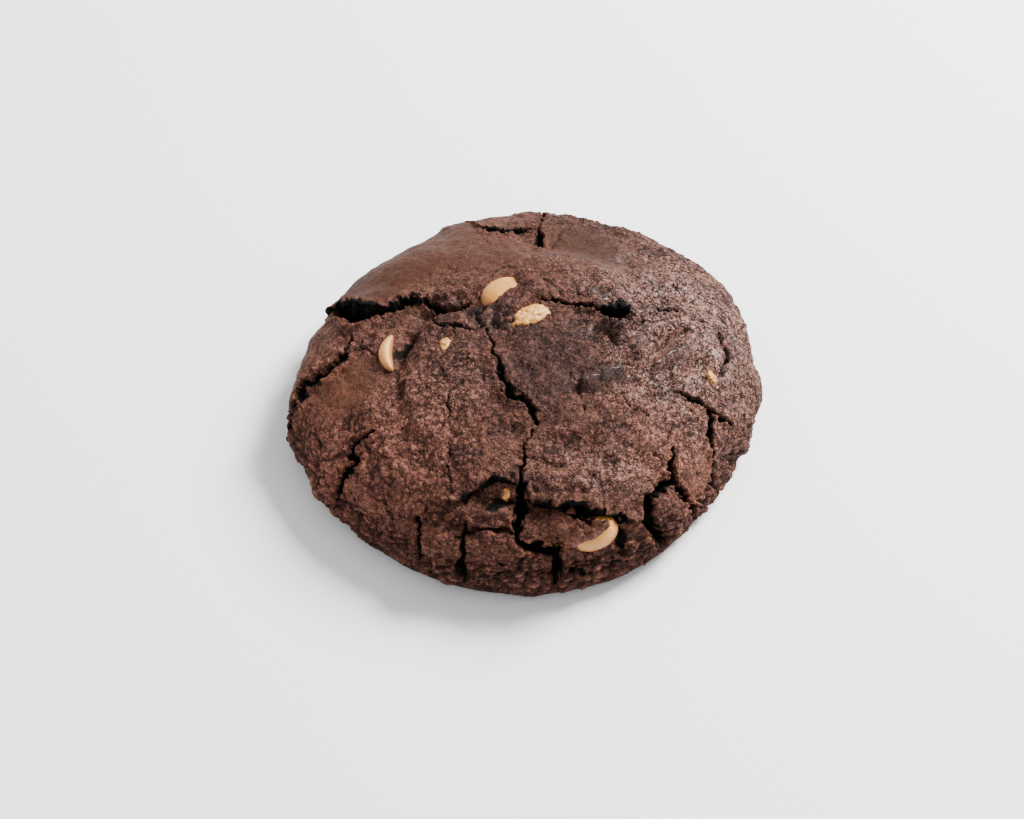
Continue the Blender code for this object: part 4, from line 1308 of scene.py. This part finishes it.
@dataclass(frozen=True)
class DoughFinish:
    """Baked chocolate dough: a grainy crackled crust, redder smooth skin, and cracks black with painted
    shade.
    """

    brown: Numbers = (0.142, 0.053, 0.036)
    deep_brown: Numbers = (0.058, 0.020, 0.013)
    red_brown: Numbers = (0.052, 0.0175, 0.0092)
    # Pale pinkish dust, which also serves as the painted sheen of the lit crust.
    dry: Numbers = (0.320, 0.150, 0.114)
    tint: Numbers = (0.108, 0.037, 0.018)
    crumb: Numbers = (0.120, 0.046, 0.026)
    wet: Numbers = (0.052, 0.020, 0.015)
    # Painted shade in the grain's hollows and in the fine crackle lines.
    cavity_shade: Numbers = (0.022, 0.0085, 0.006)
    # Near-black painted shade in fine cracks, grooves and creases, and at the foot.
    crack: Numbers = (0.006, 0.0026, 0.002)
    # Near-black painted shade inside cracks and pits.
    crack_shadow: Numbers = (0.0025, 0.0014, 0.001)
    pebble_size: float = 0.42 * MM
    crackles: tuple[Crackle, ...] = (Crackle(2.6 * MM, 0.055, 1.0), Crackle(1.25 * MM, 0.11, 0.9))
    relief_depth: float = 0.42 * MM
    shine: float = 0.11
    gloss_roughness: float = 0.34

    def put_on(self, made: bpy.types.Object) -> None:
        """Dresses the crust."""
        paint = Paint("baked_chocolate_dough")
        skin = DoughSurface(paint, self.crackles, self.pebble_size)
        paint.dress(made, {
            "Base Color": self.colour(paint, skin),
            "Roughness": self.roughness(skin),
            "Normal": self.relief(paint, skin),
            "Coat Weight": self.gloss(skin),
            "Metallic": 0.0,
            "Coat Roughness": self.gloss_roughness,
            "Specular IOR Level": self.shine,
        })

    def colour(self, paint: Paint, skin: DoughSurface) -> Wire:
        """Colours the crust, from its plain skin down to the painted shade in its cracks.

        Args:
            paint: The material being made.
            skin: What it reads.

        Returns:
            The colour.
        """
        # Painted highlight: the grain's tops are lighter, mixed with tone that varies at random.
        shade = (0.5 * skin.patch + 0.15 * skin.plate + 0.5 * skin.high).ramp(0.25, 0.95)
        colour = paint.mix(shade, self.deep_brown, self.brown)
        colour = paint.mix((skin.smooth + 0.8 * (skin.patch - 0.5)).ramp(0.1, 0.9), colour, self.red_brown)
        # Partly real dust, partly painted sheen on the lit zones and painted highlight on the grain's tops.
        dust = (0.55 * skin.dust_and_sheen_zone + 0.5 * skin.fleck + 0.6 * skin.high).ramp(0.50, 1.30)
        dust = dust * (1 - 0.6 * skin.smooth) * (0.5 + 0.45 * skin.dust_and_sheen_zone)
        colour = paint.mix(dust, colour, self.dry)
        colour = paint.mix((skin.tinted * (0.4 + skin.fleck)).ramp(0.1, 0.9) * 0.8, colour, self.tint)
        crumbs = (skin.crumbly * (0.5 + skin.fleck) - 0.2).clamp()
        colour = paint.mix(crumbs * 0.6, colour, self.crumb)
        # Painted light: lighter where the zones add, darker as painted shade where they take.
        colour = paint.scaled(colour, 1 + skin.light)
        # Painted shade in the grain's hollows.
        pores = skin.hollow * (0.55 + 0.3 * skin.dust_and_sheen_zone - 0.3 * skin.smooth)
        colour = paint.mix(pores, colour, self.cavity_shade)
        colour = paint.mix((skin.wet * (0.5 + skin.patch)).ramp(0.2, 0.9) * 0.65, colour, self.wet)
        # Painted shade in the fine crackle lines, and in the grooves, creases and crevices.
        split = paint.mix(skin.dust_and_sheen_zone, self.cavity_shade, self.crack)
        colour = paint.mix((skin.lines * (0.7 + 0.3 * skin.dust_and_sheen_zone)).clamp(), colour, split)
        colour = paint.mix((skin.groove.ramp(0.2, 0.95) * 0.75).clamp(), colour, self.crack)
        # Painted shade, darker towards the foot where the rim curves under.
        colour = paint.mix(skin.low * 0.6, colour, self.crack)
        # Painted shade inside the cracks and pits, near black.
        return paint.mix((skin.gash + 0.5 * (skin.fleck - 0.5)).ramp(0.12, 0.5), colour, self.crack_shadow)

    @staticmethod
    def roughness(skin: DoughSurface) -> Wire:
        """Less on the lit, dusty and sheened crust and where it is wet, more in the cracks."""
        sheen = 0.12 * skin.dust_and_sheen_zone + 0.25 * skin.wet * (0.5 + skin.fleck) - 0.25 * skin.gash
        return (0.62 + 0.25 * (skin.grain - 0.5) - sheen).clamp()

    def relief(self, paint: Paint, skin: DoughSurface) -> Wire:
        """Gives the crust the grain and crackle that are finer than the mesh.

        Args:
            paint: The material being made.
            skin: What it reads.

        Returns:
            The normal.
        """
        depth = 0.9 * skin.swell + (0.35 - 0.2 * skin.smooth) * skin.pebble
        depth = depth + 0.25 * skin.grain - 0.6 * skin.lines
        return paint.bump(depth * (1 + 1.2 * skin.dust_and_sheen_zone), self.relief_depth)

    @staticmethod
    def gloss(skin: DoughSurface) -> Wire:
        """Shine on wet patches and on the tops of the grains of the dusty, sheened crust."""
        shine = 0.40 * skin.wet * (0.3 + skin.fleck) + 0.30 * skin.dust_and_sheen_zone * skin.high
        return (shine * (1 - skin.gash) * (1 - 0.8 * skin.lines)).clamp()


@dataclass(frozen=True)
class PeanutFinish:
    """Roasted peanut: golden tan, browner in patches, with a faint oily sheen."""

    tan: Numbers = (0.46, 0.185, 0.028)
    # Toasted spots, and also painted shade towards the nut's underside.
    toasted_and_shaded: Numbers = (0.25, 0.078, 0.015)
    pale: Numbers = (0.58, 0.28, 0.054)
    # Dough's colour, for clinging crumbs, and for the painted shade on a side that lies in the gap under
    # the crust.
    dough: Numbers = (0.050, 0.018, 0.011)
    patch_size: float = 3.2 * MM
    fleck_size: float = 0.5 * MM
    cling_size: float = 1.3 * MM
    relief_depth: float = 0.16 * MM
    roughness: float = 0.40
    clinging: float = 0.35

    def put_on(self, made: bpy.types.Object, crumbed: bool) -> None:
        """Dresses a peanut.

        Args:
            made: The peanut.
            crumbed: Whether crumbs of dough cling to most of it.
        """
        paint = Paint(made.name + "_roasted")
        crumbs = self.clinging if crumbed else 0.0
        patch = paint.noise(self.patch_size, 3.0, 0.5)
        fleck = paint.noise(self.fleck_size, 3.0, 0.6)
        cling = paint.noise(self.cling_size, 4.0, 0.65)
        edge = paint.attribute("edge")
        colour = paint.mix(patch.ramp(0.4, 0.75), self.tan, self.pale)
        colour = paint.mix((fleck * patch).ramp(0.24, 0.40) * 0.55, colour, self.toasted_and_shaded)
        # Darker towards the nut's underside: partly roasting, partly painted shade where it meets the
        # crust.
        colour = paint.mix((edge * (0.4 + patch)).clamp() * 0.7, colour, self.toasted_and_shaded)
        colour = paint.mix((cling + 0.5 * crumbs).ramp(0.66, 0.78) * 0.85, colour, self.dough)
        # Painted shade in the dough's colour on the side that lies in the gap under the crust.
        colour = paint.mix(paint.attribute("caked"), colour, self.dough)
        relief = paint.bump(fleck, self.relief_depth, 0.8)
        paint.dress(made, {"Base Color": colour, "Roughness": self.roughness, "Normal": relief})


class Surface(Enum):
    """How a peanut's surface broke or roasted."""

    WHOLE = "whole"
    BROKEN = "broken"
    CRUMBED = "crumbed"


@dataclass(frozen=True)
class Cookie:
    """The baked body."""

    form: BakedForm
    finish: DoughFinish
    subdivisions: int = 8
    finer_rounds: int = 2
    faces: int = 197000

    def build(self) -> bpy.types.Object:
        """Makes the crust over the solid body, and dresses it."""
        bpy.ops.mesh.primitive_ico_sphere_add(subdivisions=self.subdivisions, radius=1)
        made = Bench.begin("cookie_crust")
        for _ in range(self.finer_rounds):
            Bench.split_faces(made, self.form.on_walls(Bench.points(made)))
        points, marks = self.form.finished(Bench.points(made))
        Bench.move(made, points)
        for name, values in marks.items():
            Bench.mark(made, name, values)
        Bench.apply(made, "DECIMATE", ratio=self.faces / len(made.data.polygons))
        bpy.ops.object.shade_smooth()
        self.finish.put_on(made)
        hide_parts("cookie")
        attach(made, "root")
        return made


@dataclass(frozen=True)
class NutRelief:
    """The fine relief of a nut: swells, in rows of wavelength and height, and a broken face's plates."""

    swells: Table = rows((4, 0.12), (1.4, 0.05))
    plate_size: float = 1.1 * MM
    plate_rise: float = 0.22 * MM
    groove_edge: Numbers = (0.12, 0.02)
    groove_depth: float = 0.1 * MM

    def over(self, points: Array, surface: Surface) -> Array:
        """How far each point stands out.

        Args:
            points: The nut's points, about its own middle.
            surface: How the nut broke or roasted.

        Returns:
            One height for each point.
        """
        swell = Unevenness.layers(points, self.swells, Seed.NUT_SWELLS)
        if surface is not Surface.WHOLE:
            border, plate = Unevenness.plates(points, self.plate_size, Seed.NUT_PLATES)
            swell += self.plate_rise * plate - self.groove_depth * smoothstep(*self.groove_edge, border)
        return swell


@dataclass(frozen=True)
class Peanut:
    """A piece of peanut: its node, place in plan, rise over the crust, half sizes, turn and bend.

    A direction in plan gives the side that lies in the gap under the crust, which takes painted shade in
    the dough's colour, and an edge gives where that shade begins.
    """

    SEGMENTS = 72
    RINGS = 44

    node: str
    place: Numbers
    rise: float
    half: Numbers
    turn: float
    bend: float = 0.0
    surface: Surface = Surface.WHOLE
    caked: Numbers = (0.0, 0.0)
    gap_shade_edge: Numbers = mm(0.3, 0.9)
    # Where the underside's darkening begins, partly roasting and partly painted shade.
    toasted_and_shaded_edge: Numbers = (0.75, 0.35)
    relief: NutRelief = NutRelief()

    def placing(self) -> Matrix:
        """Its middle near the crust's level, and its flat side along the crust."""
        x, y = self.place
        angle = math.atan2(y, x)
        radius = float(BakedForm.rim_radius(np.array(angle)))
        share = math.hypot(x, y) / radius
        nudge = 1e-3
        rise = BakedForm.dome(share + nudge) - BakedForm.dome(share - nudge)
        tilt = math.atan2(-rise, 2 * nudge * radius)
        flatness = math.sin(tilt)
        normal = Vector((flatness * math.cos(angle), flatness * math.sin(angle), math.cos(tilt)))
        long = Vector((math.cos(math.radians(self.turn)), math.sin(math.radians(self.turn)), 0))
        long = (long - normal * long.dot(normal)).normalized()
        short = normal.cross(long)
        crust = float(Relief.soft(np.array(((x, y),)))[0])
        middle = Vector((x, y, BakedForm.dome(share))) + normal * (crust + self.rise)
        return Matrix.Translation(middle) @ Matrix((long, short, normal)).transposed().to_4x4()

    def build(self, finish: PeanutFinish) -> bpy.types.Object:
        """Makes the peanut over its solid, and dresses it."""
        bpy.ops.mesh.primitive_uv_sphere_add(segments=self.SEGMENTS, ring_count=self.RINGS, radius=1)
        made = Bench.begin(self.node + "_roasted")
        ball = Bench.points(made)
        points = ball * np.array(self.half)
        points[:, 1] -= self.bend * ball[:, 0] ** 2
        points += ball * self.relief.over(points, self.surface)[:, None]
        placing = np.array(self.placing())
        Bench.move(made, points @ placing[:3, :3].T + placing[:3, 3])
        # The underside darkens: partly roasting, partly painted shade.
        Bench.mark(made, "edge", smoothstep(*self.toasted_and_shaded_edge, ball[:, 2]))
        # The side that lies in the shadowed gap under the crust takes painted shade in the dough's colour.
        towards = points @ placing[:2, :3].T @ np.array(self.caked)
        Bench.mark(made, "caked", smoothstep(*self.gap_shade_edge, towards))
        bpy.ops.object.shade_smooth()
        finish.put_on(made, self.surface is Surface.CRUMBED)
        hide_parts(self.node)
        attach(made, "root")
        return made


PEANUTS = (
    Peanut("peanut_back_left", mm(-4.3, 10.5), -1.0 * MM, mm(5.8, 4.8, 2.7), 34),
    Peanut("peanut_back_right", mm(0.8, 3.4), -0.8 * MM, mm(5.5, 3.2, 2.1), 30, 0.0, Surface.BROKEN),
    Peanut("peanut_left", mm(-30.4, -3.6), 0.0 * MM, mm(5.0, 1.5, 1.7), 91, 1.5 * MM),
    Peanut("peanut_front", mm(13.9, -44.8), -0.8 * MM, mm(5.6, 4.0, 2.8), 20, 0.0, Surface.WHOLE,
           (-0.6, 0.8)),
    Peanut("peanut_chip_centre", mm(-17.2, -4.3), -0.2 * MM, mm(2, 1.4, 1), 82, 0.0, Surface.BROKEN),
    Peanut("peanut_chip_front", mm(-4.1, -38.7), -0.4 * MM, mm(1.6, 1.2, 1.1), 70, 0.0, Surface.CRUMBED),
    Peanut("peanut_chip_right", mm(40.1, -6.2), -0.2 * MM, mm(1.8, 1.3, 1), -55, 0.0, Surface.CRUMBED),
)


@dataclass(frozen=True)
class Lamp:
    """A soft rectangular light: where it stands, its size, power and colour."""

    name: str
    place: tuple[float, float, float]
    size: float
    power: float
    colour: tuple[float, float, float] = (1.0, 1.0, 1.0)

    def build(self) -> None:
        """Sets the light up, facing the cookie."""
        data = bpy.data.lights.new(self.name, "AREA")
        data.size = self.size
        data.energy = self.power
        data.color = self.colour
        made = bpy.data.objects.new(self.name, data)
        made.location = self.place
        made.rotation_euler = (-Vector(self.place)).to_track_quat("-Z", "Y").to_euler()
        bpy.context.scene.collection.objects.link(made)


@dataclass(frozen=True)
class Studio:
    """A plain pale floor, soft light from the back right, and the camera."""

    floor_half: float = 2.0
    floor_colour: Numbers = (0.90, 0.90, 0.90)
    sky: Numbers = (0.97, 0.98, 1.0)
    sky_strength: float = 1.02
    lamps: tuple[Lamp, ...] = (
        Lamp("window", (0.59, 0.46, 0.67), 0.40, 45.0, (1.0, 0.985, 0.965)),
    )
    elevation: float = 50.4
    distance: float = 0.542
    focal_length: float = 85.0
    film_width: float = 36.0
    image_size: tuple[int, int] = (1024, 819)
    origin_pixel: tuple[float, float] = (525.2, 413.5)

    def build_floor(self) -> None:
        """Lays the floor, which isn't part of the cookie."""
        bpy.ops.mesh.primitive_plane_add(size=2 * self.floor_half)
        floor = Bench.begin("floor")
        paint = Paint("floor_white")
        paint.dress(floor, {"Base Color": self.floor_colour, "Roughness": 0.9})

    def build_light(self) -> None:
        """Sets the sky and the lamps."""
        world = bpy.data.worlds.new("sky")
        world.use_nodes = True
        background = world.node_tree.nodes["Background"]
        background.inputs["Color"].default_value = (*self.sky, 1)
        background.inputs["Strength"].default_value = self.sky_strength
        bpy.context.scene.world = world
        for lamp in self.lamps:
            lamp.build()

    def build_camera(self) -> None:
        """Places the camera so that the origin falls on its pixel of the picture."""
        pixels = self.focal_length / self.film_width * self.image_size[0]
        aside = (self.origin_pixel[0] - self.image_size[0] / 2) / pixels
        down = (self.origin_pixel[1] - self.image_size[1] / 2) / pixels
        tilt = math.radians(self.elevation)
        forward = Vector((0, math.cos(tilt), -math.sin(tilt)))
        up = Vector((0, math.sin(tilt), math.cos(tilt)))
        data = bpy.data.cameras.new("camera")
        data.lens = self.focal_length
        data.sensor_width = self.film_width
        data.clip_start = 0.01
        camera = bpy.data.objects.new("camera", data)
        camera.location = -self.distance * (forward + aside * Vector((1, 0, 0)) - down * up)
        camera.rotation_euler = (math.pi / 2 - tilt, 0, 0)
        bpy.context.scene.collection.objects.link(camera)
        bpy.context.scene.camera = camera

    def build(self) -> None:
        """Makes the floor, the light and the camera."""
        self.build_floor()
        self.build_light()
        self.build_camera()


def main() -> None:
    """Builds the scene and reports each piece."""
    logging.basicConfig(level=logging.INFO, format="%(name)s: %(message)s")
    made = [Cookie(BakedForm(Crumb()), DoughFinish()).build()]
    made += [peanut.build(PeanutFinish()) for peanut in PEANUTS]
    for piece in made:
        LOG.info("%s: %d faces", piece.name, len(piece.data.polygons))
    Studio().build()


if __name__ == "__main__":
    main()
